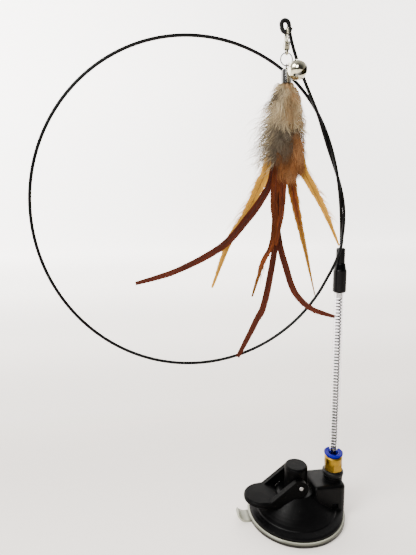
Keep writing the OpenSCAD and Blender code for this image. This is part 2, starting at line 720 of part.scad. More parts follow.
ROD_ROUTE = concat(
    [[wand_x, 0, rod_low], [wand_x, 0, (rod_low + boot_top) / 2]],
    [for (k = [0 : 14]) stand_at(k / 14)],
    [for (a = [join_angle + 6.5 : 6.5 : loop_end_angle - 3])
        loop_at(a, -loop_front * smooth(max(0, (a - 270) / (loop_end_angle - 270))))],
    [loop_last],
    [for (t = [0.2 : 0.2 : 0.85]) bezier(loop_last,
        loop_last + loop_step * loop_along(loop_end_angle) - [0, wrap_r / 2, 0],
        wrap_first + [-wrap_r / 3, -wrap_r, -loop_step], wrap_first, t)],
    [for (k = [0 : 20]) wrap_at(wrap_start_share + (wrap_end_share - wrap_start_share) * k / 20)],
    [for (t = [0.14 : 0.14 : 0.9]) bezier(wrap_last, wrap_last + 1.4 * loop_step * wrap_away,
        eye_points()[0] - 1.4 * loop_step * eye_up, eye_points()[0], t)],
    eye_points());

module spring_rod() {
    p = ROD_ROUTE;
    r = rod_d / 2;
    echo(rod_rings = len(p), rod_least_gap = self_gap(p, rod_d, 5),
        rod_length = sum_steps(p));
    color([0.08, 0.08, 0.08]) swept(p, same([0, 1, 0], len(p)), same(r, len(p)), same(r, len(p)), 8);
}
function sum_steps(p, k = 0) = k > len(p) - 2 ? 0 : norm(p[k + 1] - p[k]) + sum_steps(p, k + 1);

module eye_sleeve() {
    color([0.1, 0.1, 0.1]) swept_sleeve(eye_points(), [0, 1, 0], sleeve_d / 2, sleeve_bore / 2, 8);
}

// Clasp, drawn flat: first axis is +Y, second is +Z, third is +X
module in_clasp_plane() {
    translate([hang_x, hang_y, hang_z]) rotate([90, 0, 90]) children();
}

module clasp_body() {
    color([0.86, 0.85, 0.8]) in_clasp_plane() difference() {
        union() {
            rotate_extrude(angle = hook_end) translate([hook_r, 0]) circle(d = hook_d, $fn = 24);
            translate([hook_r, 0, 0]) rotate([90, 0, 0]) cylinder(d = arm_d, h = barrel_drop, $fn = 24);
            hull() {
                translate([barrel_back, -barrel_drop, 0])
                    cylinder(r = barrel_r, h = clasp_t, center = true, $fn = 32);
                translate([0, -barrel_foot_drop, 0])
                    cylinder(r = barrel_foot_r, h = clasp_t, center = true, $fn = 32);
            }
            translate([0, -lug_drop, 0]) cylinder(r = lug_r, h = lug_t, center = true, $fn = 32);
        }
        translate([0, -lug_drop, 0]) cylinder(r = lug_hole, h = clasp_t, center = true, $fn = 32);
        translate([pivot_y, -pivot_drop, 0]) {
            cylinder(r = barrel_r * 0.6, h = slot_t, center = true, $fn = 32);
            cylinder(r = clasp_pin_d / 2 + pin_gap / 2, h = 2 * clasp_t, center = true, $fn = 24);
            translate([-barrel_r * 1.2, 0, -slot_t / 2]) cube([barrel_r * 1.9, barrel_r * 1.5, slot_t]);
        }
    }
}

module clasp_gate() {
    color([0.9, 0.89, 0.84]) in_clasp_plane() difference() {
        union() {
            hull() {
                translate([pivot_y, -pivot_drop, 0])
                    cylinder(d = gate_d, h = gate_t, center = true, $fn = 32);
                translate([gate_tip_y, -gate_tip_drop, 0])
                    cylinder(d = gate_d, h = gate_t, center = true, $fn = 32);
            }
            translate([pivot_y, -pivot_drop, 0])
                cylinder(r = barrel_r * 0.42, h = gate_t, center = true, $fn = 32);
            hull() {
                translate([(pivot_y + gate_tip_y) / 2, -(pivot_drop + gate_tip_drop) / 2, 0])
                    cylinder(d = gate_d * 0.7, h = gate_t, center = true, $fn = 24);
                translate([gate_tip_y - hook_r * 0.6, -pivot_drop * 0.62, 0])
                    cylinder(d = gate_d * 0.7, h = gate_t, center = true, $fn = 24);
            }
        }
        translate([pivot_y, -pivot_drop, 0])
            cylinder(r = clasp_pin_d / 2 + run_gap / 2, h = clasp_t, center = true, $fn = 24);
    }
}

module clasp_pin() {
    color([0.8, 0.8, 0.78]) in_clasp_plane() translate([pivot_y, -pivot_drop, 0])
        cylinder(d = clasp_pin_d, h = clasp_t, center = true, $fn = 24);
}

module clasp_spring() {
    low = gate_t / 2 + pin_gap;
    color([0.7, 0.7, 0.7]) in_clasp_plane() translate([pivot_y, -pivot_drop, low]) difference() {
        cylinder(r = barrel_r * 0.4, h = slot_t / 2 - low - pin_gap, $fn = 32);
        translate([0, 0, -over]) cylinder(r = clasp_pin_d / 2 + run_gap / 2, h = clasp_t, $fn = 24);
    }
}

module jump_ring() {
    color([0.8, 0.8, 0.82]) translate([hang_x, hang_y, ring_z]) rotate([90, 0, 0])
        rotate_extrude() translate([ring_r, 0]) circle(d = ring_d, $fn = 24);
}

// A small wire loop that hangs on the ring, with its middle below the ring's wire
module small_loop(r) {
    translate([0, 0, -(small_loop_r - loop_wire_d / 2 - ring_d / 2) / 4 - r + small_loop_r])
        rotate([0, 90, 0]) rotate_extrude($fn = 32) translate([r, 0])
            circle(d = loop_wire_d, $fn = 16);
}

// Bell: it hangs along its own -Z from the ring's lower right
module at_bell_loop() {
    translate([hang_x + ring_r * cos(bell_angle), hang_y, ring_z - ring_r * sin(bell_angle)])
        rotate([0, bell_angle - 90, 0]) rotate([-bell_tilt, 0, 0]) children();
}

module bell_shell() {
    neck = bell_loop_r * 2 - small_loop_r * 0.84;
    color([0.85, 0.85, 0.83]) at_bell_loop() union() {
        small_loop(bell_loop_r);
        translate([0, 0, -bell_drop]) difference() {
            union() {
                sphere(r = bell_r, $fn = 64);
                cylinder(d = loop_wire_d * 2.2, h = bell_drop - neck, $fn = 24);
            }
            sphere(r = bell_r - bell_wall, $fn = 64);
            translate([0, 0, -bell_r]) linear_extrude(bell_r) polygon([
                [-bell_r * slot_far_share, -slot_narrow / 2], [bell_r * slot_near_share, -slot_wide / 2],
                [bell_r * slot_near_share, slot_wide / 2], [-bell_r * slot_far_share, slot_narrow / 2]]);
            translate([-bell_r * slot_far_share, 0, -bell_r])
                cylinder(r = slot_narrow, h = bell_r, $fn = 24);
        }
    }
}

// Centre of the bell
function bell_centre() = let (side = bell_drop * cos(bell_tilt))
    [hang_x + ring_r * cos(bell_angle) + side * sin(90 - bell_angle),
    hang_y - bell_drop * sin(bell_tilt),
    ring_z - ring_r * sin(bell_angle) - side * cos(90 - bell_angle)];

module bell_pellet() {
    drop = bell_r - bell_wall - pellet_d / 2 - pin_gap;
    color([0.6, 0.6, 0.6]) translate(bell_centre() - [0, 0, drop]) sphere(d = pellet_d, $fn = 48);
}

// Lure
module ferrule() {
    r = ferrule_d / 2;
    color([0.8, 0.8, 0.82]) union() {
        translate([hang_x, hang_y, lure_pivot]) small_loop(small_loop_r);
        translate([hang_x, hang_y, ferrule_top - ferrule_edge / 2])
            cylinder(d = loop_wire_d * 2.2, h = small_loop_r + ferrule_edge / 2, $fn = 24);
        translate([hang_x, hang_y, 0]) rotate_extrude() polygon([[r - ferrule_wall, ferrule_low],
            [r, ferrule_low], [r, ferrule_top - ferrule_edge], [r - ferrule_edge, ferrule_top],
            [0, ferrule_top], [0, ferrule_top - ferrule_edge], [r - ferrule_wall,
            ferrule_top - ferrule_edge]]);
    }
}

function hole_at(i) = [hang_x + quill_circle * cos(45 * i), hang_y + quill_circle * sin(45 * i), 0];

module quill_plug() {
    low = ferrule_low + ferrule_edge;
    high = ferrule_top - ferrule_edge - pin_gap;
    color([0.85, 0.8, 0.65]) difference() {
        translate([hang_x, hang_y, low])
            cylinder(r = ferrule_d / 2 - ferrule_wall - pin_gap, h = high - low);
        for (i = [0 : 7]) translate(hole_at(i) + [0, 0, low - over])
            cylinder(d = quill_hole, h = ferrule_len, $fn = 16);
    }
}

// A feather's place: its hole in the plug, its depth layer and its points
FEATHERS = [
    [3, 1, 0.85, YELLOW_LEFT_SHARES], [4, 2, 0.6, BROWN_LEFT_SHARES], [5, 3, 1, RUST_CENTRE_SHARES],
    [6, 4, 0.7, RUST_SHORT_SHARES], [7, 1, 0.48, RED_LONG_SHARES], [2, 0, 0.5, RED_RIGHT_SHARES],
    [1, 0, 0.3, THIN_ORANGE_SHARES], [0, 1, 0.5, YELLOW_RIGHT_SHARES]];
function layer_y(f) = hang_y - layer_step * (f[1] + 0.3);
function lure_point(share, y) = [hang_x + share[0] * lure_len, y, ferrule_low - share[1] * lure_len];
function quill_top(f) = hole_at(f[0]) + [0, 0, ferrule_low + ferrule_len * 0.75];
function quill_bend(f) = hole_at(f[0]) + [0, 0, ferrule_low - plume_gap];
function quill_exit(f) = lure_point(f[3][0], layer_y(f));

// One long feather: a straight quill, then a flat vane that widens and tapers
module feather(index, tint) {
    f = FEATHERS[index];
    points = [for (s = f[3]) lure_point(s, layer_y(f))];
    spans = len(points) - 1;
    vane = concat([for (k = [0 : spans - 1], j = [0 : vane_rings - 1])
        spline(points, k, j / vane_rings)], [points[spans]]);
    count = len(vane);
    q = quill_d / 2;
    p = concat([quill_top(f), quill_bend(f)], vane);
    half = concat([q, q], [for (k = [0 : count - 1]) let (s = k / (count - 1))
        q + (f[2] * vane_wide / 2 - q) * smooth(min(1, s * 5)) * (1 - 0.9 * pow(s, 3))]);
    thick = concat([q, q], [for (k = [0 : count - 1]) let (s = k / (count - 1))
        min(q, vane_t / 2) * (1 - s / 2)]);
    color(tint) swept(p, same([0, 1, 0], len(p)), thick, half, 6);
}

// Plumes: one lofted tuft, parted into three by planes that fan out from the ferrule
module plume_body() {
    rings = len(PLUME_SHARES);
    mid_y = hang_y - plume_back;
    polyhedron(points = [for (s = PLUME_SHARES) let (mid = (s[1] + s[2]) / 2, half = (s[2] - s[1]) / 2)
        each [for (i = [0 : plume_sides - 1]) let (a = 360 * i / plume_sides)
            [hang_x + plume_w * (mid + half * cos(a)),
            hang_y + (mid_y - hang_y) * min(1, s[0] * 4) - plume_t / 2 * s[3] * sin(a),
            plume_top - plume_len * s[0]]]],
        faces = concat(cap_faces(plume_sides, 0, false), wall_faces(rings, plume_sides, 0, false),
            cap_faces(plume_sides, (rings - 1) * plume_sides, true)), convexity = 4);
}

// One plume between two planes, given where they lie at the neck and at the bottom
module plume(left, right, tint) {
    far = plume_w;
    low = plume_top - plume_len - over;
    high = plume_top + over;
    color(tint) difference() {
        intersection() {
            plume_body();
            translate([hang_x, 0, 0]) rotate([90, 0, 0]) linear_extrude(2 * far, center = true)
                polygon([[left[1], low], [right[1], low], [right[0], high], [left[0], high]]);
        }
        for (f = FEATHERS) {
            a = quill_bend(f) + [0, 0, over];
            b = quill_exit(f);
            d = b - a;
            long = norm(d);
            translate(a) rotate([0, acos(d[2] / long), atan2(d[1], d[0])]) translate([0, 0, -over])
                cylinder(d = quill_channel, h = long + 2 * over, $fn = 16);
        }
    }
}

part_neck = plume_w * 0.02;
part_neck_left = plume_w * 0.045;
part_left = -plume_w * 0.3;
part_right = plume_w * 0.1;
module plume_left() {
    plume([-plume_w, -plume_w], [-part_neck_left - plume_gap, part_left - plume_gap], [0.55, 0.5, 0.46]);
}
module plume_middle() {
    plume([-part_neck_left, part_left], [part_neck, part_right], [0.87, 0.78, 0.66]);
}
module plume_right() {
    plume([part_neck + plume_gap, part_right + plume_gap], [plume_w, plume_w], [0.85, 0.66, 0.45]);
}

gel_pad();
gel_membrane();
housing();
suction_stem();
lock_lever();
lever_pin();
seat_ring();
fitting_body();
tube_seal();
grab_ring();
collet_sleeve();
release_collar();
clear_tube();
tube_spring();
wire_plug();
boot();
spring_rod();
eye_sleeve();
clasp_body();
clasp_gate();
clasp_pin();
clasp_spring();
jump_ring();
bell_shell();
bell_pellet();
ferrule();
quill_plug();
plume_left();
plume_middle();
plume_right();
feather(0, [0.95, 0.84, 0.3]);  // feather_yellow_left
feather(1, [0.6, 0.27, 0.13]);  // feather_brown_left
feather(2, [0.68, 0.32, 0.14]);  // feather_rust_centre
feather(3, [0.75, 0.4, 0.18]);  // feather_rust_short
feather(4, [0.62, 0.15, 0.09]);  // feather_red_long
feather(5, [0.66, 0.2, 0.1]);  // feather_red_right
feather(6, [0.8, 0.45, 0.15]);  // feather_thin_orange
feather(7, [0.96, 0.86, 0.4]);  // feather_yellow_right
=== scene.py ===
"""Cat teaser wand on a suction base: the looks of each piece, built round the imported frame."""
import math
import random

import bpy
from bpy.props import FloatProperty, FloatVectorProperty, IntProperty, PointerProperty
from mathutils import Matrix, Vector, noise


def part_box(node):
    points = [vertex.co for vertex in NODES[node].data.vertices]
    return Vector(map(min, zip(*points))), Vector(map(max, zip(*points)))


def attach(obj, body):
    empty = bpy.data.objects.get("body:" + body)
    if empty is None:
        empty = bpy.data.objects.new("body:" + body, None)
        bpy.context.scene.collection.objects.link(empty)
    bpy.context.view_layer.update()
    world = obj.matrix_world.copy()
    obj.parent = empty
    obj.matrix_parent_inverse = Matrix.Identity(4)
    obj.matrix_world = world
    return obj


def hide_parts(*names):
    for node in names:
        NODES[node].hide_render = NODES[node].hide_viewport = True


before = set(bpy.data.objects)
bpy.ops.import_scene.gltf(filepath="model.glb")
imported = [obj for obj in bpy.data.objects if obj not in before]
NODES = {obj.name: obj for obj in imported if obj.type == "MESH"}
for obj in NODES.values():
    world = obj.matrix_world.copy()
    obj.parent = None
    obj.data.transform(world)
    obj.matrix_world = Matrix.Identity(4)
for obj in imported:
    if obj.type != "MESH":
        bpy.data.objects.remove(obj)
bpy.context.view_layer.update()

bl_info = {
    "name": "Cat teaser wand",
    "version": (1, 0, 0),
    "blender": (4, 5, 0),
    "location": "3D View > Sidebar > Teaser",
    "description": "Builds the looks of a cat teaser wand round its packed frame",
    "category": "Object",
}

MM = 0.001
UP = Vector((0, 0, 1))
SIDE = Vector((0, 1, 0))

# Places read from the frame
TUBE_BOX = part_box("clear_tube")
WAND_X = (TUBE_BOX[0].x + TUBE_BOX[1].x) / 2
TUBE_TOP = TUBE_BOX[1].z
BOOT_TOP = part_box("boot")[1].z
SPRING_LOW, SPRING_TOP = (corner.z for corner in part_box("tube_spring"))
CAP_LOW, CAP_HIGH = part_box("ferrule")
HANG = Vector(((CAP_LOW.x + CAP_HIGH.x) / 2, (CAP_LOW.y + CAP_HIGH.y) / 2, 0))
CAP_Z = CAP_LOW.z

# The rod's route, as the part's source gives it. Angles are in degrees, from the loop's right side.
LOOP_R = 91.1 * MM
LOOP_TALL = 1.025
LOOP_X = WAND_X - LOOP_R + 1 * MM
LOOP_Z = BOOT_TOP + LOOP_R * 0.2744
LOOP_STEP = 6.5
JOIN_ANGLE = 60
FRONT_ANGLE = 270
LOOP_END = 333
PLUG_Z = TUBE_TOP - 5.5 * MM
ROD_FOOT = PLUG_Z + 1.5 * MM
STAND_PULL = LOOP_R * 0.465
STAND_STEPS = 14
WRAP_R = 1.85 * MM
WRAP_START, WRAP_END = 0.06, 0.72
WRAP_STEPS = 20
LOOP_FRONT = WRAP_R * 1.42
LEAD = LOOP_R * 0.09
EYE_R = 2.25 * MM
EYE_SIDE = 1.8 * MM
EYE_STEPS = 8
EYE_TILT = math.radians(8)
SLEEVE_D = 2.1 * MM
EYE_SHIFT = SLEEVE_D * 1.1
EYE_BAR = 0.812
HANG_Z = LOOP_Z + LOOP_R * 1.0256
EYE_UP = Vector((-math.sin(EYE_TILT), 0, math.cos(EYE_TILT)))

# The lure
LURE_LEN = 154.4 * MM
PLUME_LEN = LURE_LEN * 0.279
PLUME_W = LURE_LEN * 0.2137
PLUME_T = 12.4 * MM
VANE_T = 0.8 * MM
LAYER_STEP = VANE_T * 1.85
VANE_START = 0.8
VANE_STEPS = 12
CAP_D = 5.8 * MM
QUILL_CIRCLE = CAP_D * 0.27
QUILL_TOP = CAP_Z + 5.4 * MM
QUILL_R = 0.34 * MM
SHAFT_ROOT_R, SHAFT_TIP_R = 0.26 * MM, 0.06 * MM
LOOSE_W = 0.22 * MM
QUARTERS = (0, 0.25, 0.5, 0.75, 1)
PLUME_TOP = CAP_Z - 0.15 * MM
PLAIN_TONE = 0.42
DOWN_SEED, FEATHER_SEED = 40, 70
PART_LEFT, PART_RIGHT = (-0.22, -0.02), (0.08, 0.02)
# Outline of the close down: drop share of a plume, then left, right and depth shares
DOWN_SHARES = [
    (0, -0.06, 0.07, 0.36), (0.07, -0.11, 0.1, 0.46), (0.2, -0.19, 0.17, 0.7),
    (0.33, -0.25, 0.23, 0.8), (0.46, -0.27, 0.26, 0.95), (0.6, -0.29, 0.29, 1.05),
    (0.73, -0.3, 0.28, 1.1), (0.86, -0.31, 0.24, 1.1), (1.0, -0.27, 0.21, 1.1),
    (1.12, -0.2, 0.2, 1.1), (1.3, -0.14, 0.2, 1.0)]

# Feather: node, hole in the glue plug, layer, points down the lure as (across share, drop share)
FEATHERS = {
    "feather_yellow_left": (3, 1, [(-0.07, 0.287), (-0.096, 0.35), (-0.146, 0.45), (-0.21, 0.555),
                                   (-0.278, 0.72)]),
    "feather_brown_left": (4, 2, [(-0.052, 0.287), (-0.072, 0.36), (-0.135, 0.455), (-0.24, 0.565),
                                  (-0.4, 0.648), (-0.557, 0.693)]),
    "feather_rust_centre": (5, 3, [(-0.038, 0.287), (-0.047, 0.394), (-0.046, 0.48),
                                   (-0.058, 0.562), (-0.09, 0.635), (-0.13, 0.757)]),
    "feather_rust_short": (6, 4, [(-0.018, 0.287), (-0.021, 0.36), (-0.024, 0.44), (-0.037, 0.525),
                                  (-0.045, 0.565)]),
    "feather_red_long": (7, 1, [(-0.022, 0.287), (-0.029, 0.45), (-0.039, 0.578), (-0.074, 0.769),
                                (-0.106, 0.851), (-0.183, 1)]),
    "feather_red_right": (2, 0, [(-0.026, 0.287), (-0.034, 0.42), (-0.024, 0.54), (0, 0.64),
                                 (0.04, 0.75), (0.106, 0.822), (0.206, 0.866)]),
    "feather_thin_orange": (1, 0, [(0.018, 0.287), (0.03, 0.372), (0.053, 0.474), (0.08, 0.585),
                                   (0.124, 0.77)]),
    "feather_yellow_right": (0, 1, [(0.06, 0.287), (0.09, 0.345), (0.125, 0.405), (0.16, 0.471),
                                    (0.21, 0.578)]),
}

# How finely the round pieces are drawn
ROD_SIDES, SLEEVE_SIDES, FINE_SIDES = 14, 16, 8
RIB_STEPS = 12
CORE_RINGS, CORE_SIDES = 20, 28

# Colours of the small parts, which no setting changes
PIN_STEEL = (0.3, 0.3, 0.3)
RING_RUBBER = (0.0018, 0.0018, 0.0018)
SEAL_RUBBER = (0.015, 0.015, 0.015)
SLEEVE_RUBBER = (0.0016, 0.0016, 0.0016)
GRAB_STEEL = (0.6, 0.6, 0.62)
SPRING_STEEL = (0.01, 0.01, 0.012)
CLASP_PIN_STEEL = (0.6, 0.6, 0.6)
CLASP_SPRING_STEEL = (0.5, 0.5, 0.52)
PELLET_STEEL = (0.4, 0.4, 0.4)
# Painted shade for the inside of the bell
BELL_PAINTED_SHADE = (0.02, 0.018, 0.016)
PLUG_ZINC = (0.6, 0.6, 0.57)
PLUG_GLUE = (0.55, 0.48, 0.34)
# Height of the gel's painted shade and highlight, and where its painted paler tab lies
GEL_TALL = 3.2 * MM
GEL_TAB = (-34 * MM, -31.5 * MM)

# The stage, in metres: the paper runs under and behind the object and bends up
PAPER_FRONT, PAPER_BACK = -2.5, 1.6
PAPER_BEND, PAPER_TOP, PAPER_SIDE = 0.9, 3.0, 9.0
# Painted glow that the paper gives off itself, with no lamp behind it: distance back and up,
# strength, warmth
PAPER_GLOW = (
    (-0.12, 0.0, 0.06), (-0.03, 0.04, 0.06), (0.08, 0.0, 0.06), (0.2, 0.07, 0.06),
    (0.43, 0.21, 0.04), (0.89, 0.43, 0.03), (1.6, 0.6, 0.02), (4.4, 0.84, 0.02))
GLOW_START, GLOW_END = -0.5, 4.5
# Lamp: name, place, what it points at, size, power, colour
LAMPS = (
    ("key_light", (-1.2, -0.5, 1.3), (0, 0, 0.12), 0.8, 44, (1, 0.985, 0.96)),
    ("front_light", (-0.6, -1.3, 1.0), (0, 0, 0.22), 0.6, 26, (1, 0.99, 0.97)),
    ("back_light", (0.6, 1.0, 1.4), (0, 0, 0.15), 0.9, 12, (1, 1, 1)))
CAMERA_PLACE = (-0.08897, -0.25104, 0.2111)


# ---------------------------------------------------------------- settings


class BaseSettings(bpy.types.PropertyGroup):
    """Finishes of the suction base."""
    plastic: FloatVectorProperty(
        name="Base plastic", description="Colour of the housing, the stem and the lever",
        subtype="COLOR", size=3, min=0, max=1, default=(0.0012, 0.0012, 0.0013))
    plastic_roughness: FloatProperty(
        name="Plastic roughness", description="How matt the moulded base is",
        subtype="FACTOR", min=0, max=1, default=0.42)
    gel: FloatVectorProperty(
        name="Gel", description="Colour of the soft suction disc",
        subtype="COLOR", size=3, min=0, max=1, default=(0.17, 0.17, 0.135))


class FittingSettings(bpy.types.PropertyGroup):
    """Finishes of the tube fitting."""
    brass: FloatVectorProperty(
        name="Brass", description="Colour of the turned fitting",
        subtype="COLOR", size=3, min=0, max=1, default=(0.25, 0.145, 0.013))
    collar: FloatVectorProperty(
        name="Collar", description="Colour of the collar that lets the tube go",
        subtype="COLOR", size=3, min=0, max=1, default=(0.003, 0.0002, 0.16))


class TubeSettings(bpy.types.PropertyGroup):
    """Sizes and finishes of the tube, its spring and the boot."""
    curls: IntProperty(
        name="Spring curls", description="Turns of the spring in the tube",
        min=20, max=100, default=55)
    curl_steps: IntProperty(
        name="Steps in a curl", description="How finely each turn of the spring is drawn",
        min=8, max=48, default=20)
    spring_r: FloatProperty(
        name="Spring radius", description="Radius of the middle of the spring's wire",
        unit="LENGTH", min=0.0008, max=0.0018, default=0.0015, precision=5)
    spring_wire: FloatProperty(
        name="Spring wire", description="Diameter of the spring's wire",
        unit="LENGTH", min=0.0003, max=0.0009, default=0.0008, precision=5)
    boot: FloatVectorProperty(
        name="Boot", description="Colour of the glossy boot",
        subtype="COLOR", size=3, min=0, max=1, default=(0.0012, 0.0012, 0.0014))


class RodSettings(bpy.types.PropertyGroup):
    """Sizes and finish of the spring rod and its eye."""
    rod_d: FloatProperty(
        name="Rod", description="Diameter of the spring rod",
        unit="LENGTH", min=0.001, max=0.002, default=0.0015, precision=5)
    coat_d: FloatProperty(
        name="Coat", description="Diameter over the rod's coat, outside the boot and the sleeve",
        unit="LENGTH", min=0.001, max=0.002, default=0.00185, precision=5)
    sleeve_d: FloatProperty(
        name="Sleeve", description="Diameter of the ribbed sleeve round the end eye",
        unit="LENGTH", min=0.0018, max=0.0026, default=0.0024, precision=5)
    ribs: IntProperty(
        name="Ribs", description="Number of ribs along the sleeve", min=6, max=60, default=26)
    colour: FloatVectorProperty(
        name="Rod colour", description="Colour of the rod's coat",
        subtype="COLOR", size=3, min=0, max=1, default=(0.0016, 0.0015, 0.0015))


class MetalSettings(bpy.types.PropertyGroup):
    """Finishes of the clasp, the ring, the bell and the cap."""
    nickel: FloatVectorProperty(
        name="Nickel", description="Colour of the plated clasp and bell",
        subtype="COLOR", size=3, min=0, max=1, default=(0.5, 0.47, 0.35))
    # How deep under the bell's outer face its painted shade inside begins
    bell_shade_depth: FloatProperty(
        name="Bell wall", description="How deep the bell's bright plating reaches",
        unit="LENGTH", min=0.0001, max=0.002, default=0.0004, precision=5)
    chrome: FloatVectorProperty(
        name="Chrome", description="Colour of the polished cap",
        subtype="COLOR", size=3, min=0, max=1, default=(0.6, 0.59, 0.58))


class PlumeSettings(bpy.types.PropertyGroup):
    """Sizes and colours of the downy plumes."""
    tufts: IntProperty(
        name="Tufts", description="Number of tufts on each plume", min=40, max=1200, default=330)
    barbs: IntProperty(
        name="Barbs in a tuft", description="Number of fine down barbs in a tuft",
        min=4, max=40, default=15)
    wisps: IntProperty(
        name="Wisps", description="Number of thin wisps along the outer edge",
        min=0, max=600, default=320)
    apron: IntProperty(
        name="Apron", description="Number of tufts that hang over the feathers' roots",
        min=0, max=300, default=90)
    tuft_len: FloatProperty(
        name="Tuft length", description="Length of the longest tufts",
        unit="LENGTH", min=0.003, max=0.016, default=0.0095, precision=4)
    barb_w: FloatProperty(
        name="Barb width", description="Width of a down barb at its root",
        unit="LENGTH", min=0.00004, max=0.0006, default=0.00014, precision=5)
    dusk: FloatVectorProperty(
        name="Dark down", description="Colour of the darkest down",
        subtype="COLOR", size=3, min=0, max=1, default=(0.08, 0.055, 0.036))
    grey: FloatVectorProperty(
        name="Grey down", description="Colour of the grey down",
        subtype="COLOR", size=3, min=0, max=1, default=(0.095, 0.078, 0.056))
    pale: FloatVectorProperty(
        name="Pale down", description="Colour of the palest down",
        subtype="COLOR", size=3, min=0, max=1, default=(0.42, 0.33, 0.2))
    beige: FloatVectorProperty(
        name="Beige down", description="Colour of the beige down",
        subtype="COLOR", size=3, min=0, max=1, default=(0.23, 0.15, 0.075))
    tan: FloatVectorProperty(
        name="Tan down", description="Colour of the warm down",
        subtype="COLOR", size=3, min=0, max=1, default=(0.31, 0.165, 0.075))
    rust: FloatVectorProperty(
        name="Rust down", description="Colour of the lowest down",
        subtype="COLOR", size=3, min=0, max=1, default=(0.15, 0.056, 0.018))
    deep: FloatVectorProperty(
        name="Deep brown down", description="Colour of the dark brown down in the middle",
        subtype="COLOR", size=3, min=0, max=1, default=(0.055, 0.033, 0.018))


class FeatherSettings(bpy.types.PropertyGroup):
    """Sizes and colours of the long feathers."""
    barb_step: FloatProperty(
        name="Barb spacing", description="Distance from one barb to the next",
        unit="LENGTH", min=0.0002, max=0.002, default=0.0004, precision=5)
    yellow: FloatVectorProperty(
        name="Golden", description="Colour of the golden feathers",
        subtype="COLOR", size=3, min=0, max=1, default=(0.44, 0.215, 0.03))
    rust: FloatVectorProperty(
        name="Rust", description="Colour of the rust feathers",
        subtype="COLOR", size=3, min=0, max=1, default=(0.075, 0.018, 0.005))
    red: FloatVectorProperty(
        name="Red brown", description="Colour of the dark feathers",
        subtype="COLOR", size=3, min=0, max=1, default=(0.046, 0.010, 0.005))


class StageSettings(bpy.types.PropertyGroup):
    """Floor, lights and camera."""
    floor: FloatVectorProperty(
        name="Floor", description="Colour of the plain floor",
        subtype="COLOR", size=3, min=0, max=1, default=(0.80, 0.75, 0.70))
    # The paper's glow is painted light, given off by the paper itself
    glow: FloatProperty(
        name="Glow", description="How brightly the paper is lit from behind",
        min=0, max=12, default=6)
    room: FloatProperty(
        name="Room light", description="Strength of the soft light all round",
        min=0, max=4, default=0.9)
    lens: FloatProperty(
        name="Lens", description="Focal length of the camera",
        unit="CAMERA", min=20, max=80, default=37.21)
    pitch: FloatProperty(
        name="Pitch", description="How far the camera looks down",
        subtype="ANGLE", default=math.radians(10.34))
    roll: FloatProperty(
        name="Roll", description="How far the camera leans",
        subtype="ANGLE", default=math.radians(1.12))
    turn: FloatProperty(
        name="Turn", description="How far the camera stands round the object",
        subtype="ANGLE", default=math.radians(7.29))


# ---------------------------------------------------------------- mesh helpers


def spline(points, steps):
    """A smooth curve through the points, with the given steps between neighbours."""
    out = []
    for k in range(len(points) - 1):
        a, b, c = points[max(k - 1, 0)], points[k], points[k + 1]
        d = points[min(k + 2, len(points) - 1)]
        for j in range(steps):
            t = j / steps
            out.append((2 * b + (c - a) * t + (2 * a - 5 * b + 4 * c - d) * t * t
                        + (3 * b - a - 3 * c + d) * t ** 3) / 2)
    return out + [points[-1].copy()]


def bezier(a, b, c, d, t):
    """A point on the curve from a to d that b and c pull."""
    return a * (1 - t) ** 3 + b * 3 * t * (1 - t) ** 2 + c * 3 * t * t * (1 - t) + d * t ** 3


def smooth(t):
    """Eases from 0 to 1."""
    t = min(1.0, max(0.0, t))
    return t * t * (3 - 2 * t)


def directions(points):
    """The way that the route runs at each of its points."""
    last = len(points) - 1
    return [(points[min(k + 1, last)] - points[max(k - 1, 0)]).normalized()
            for k in range(last + 1)]


class Sheaf:
    """Collects tubes and thin ribbons into one mesh, with UV maps for place and chance."""

    def __init__(self):
        self.points, self.faces, self.slots, self.place, self.chance = [], [], [], [], []

    def tube(self, route, radii, sides, slot=0, place=None):
        """A round, closed tube along the route. place gives each ring's first UV number."""
        first, last = len(self.points), len(route) - 1
        ways = directions(route)
        for k, (point, way) in enumerate(zip(route, ways)):
            across = (SIDE - way * way.dot(SIDE)).normalized()
            other = way.cross(across)
            share = place[k] if place else k / last
            for i in range(sides):
                a = 2 * math.pi * i / sides
                self.points.append(point + (across * math.cos(a) + other * math.sin(a)) * radii[k])
                self.place.append((share, 0.5))
                self.chance.append((0.5, 0.5))
        self.wall(first, last, sides, slot)
        self.faces.append(tuple(first + i for i in reversed(range(sides))))
        self.faces.append(tuple(first + last * sides + i for i in range(sides)))
        self.slots += [slot, slot]

    def wall(self, first, rings, sides, slot):
        """Joins each ring of points to the next."""
        for k in range(rings):
            for i in range(sides):
                a, b = first + k * sides + i, first + k * sides + (i + 1) % sides
                self.faces.append((a, b, b + sides, a + sides))
                self.slots.append(slot)

    def ribbon(self, route, widths, flat, place, place_end=None, chance=0.5):
        """A thin ribbon along the route. flat is the way that its face looks."""
        first, last = len(self.points), len(route) - 1
        place_end = place_end or place
        for k, (point, way) in enumerate(zip(route, directions(route))):
            out = flat.cross(way)
            if out.length < 1e-9:
                out = SIDE.cross(way)
            out.normalize()
            t = k / last
            spot = (place[0] * (1 - t) + place_end[0] * t, place[1] * (1 - t) + place_end[1] * t)
            for s in (-0.5, 0.5):
                self.points.append(point + out * widths[k] * s)
                self.place.append(spot)
                self.chance.append((chance, t))
        for k in range(last):
            a = first + 2 * k
            self.faces.append((a, a + 1, a + 3, a + 2))
            self.slots.append(0)

    def piece(self, name, *materials):
        """Makes one object of all that was collected."""
        mesh = bpy.data.meshes.new(name)
        mesh.from_pydata([tuple(p) for p in self.points], [], self.faces)
        for material in materials:
            mesh.materials.append(material)
        mesh.polygons.foreach_set("material_index", self.slots)
        for title, values in (("Place", self.place), ("Chance", self.chance)):
            layer = mesh.uv_layers.new(name=title)
            corners = [n for loop in mesh.loops for n in values[loop.vertex_index]]
            layer.data.foreach_set("uv", corners)
        mesh.shade_smooth()
        mesh.validate()
        obj = bpy.data.objects.new(name, mesh)
        bpy.context.scene.collection.objects.link(obj)
        return obj


# ---------------------------------------------------------------- material helpers


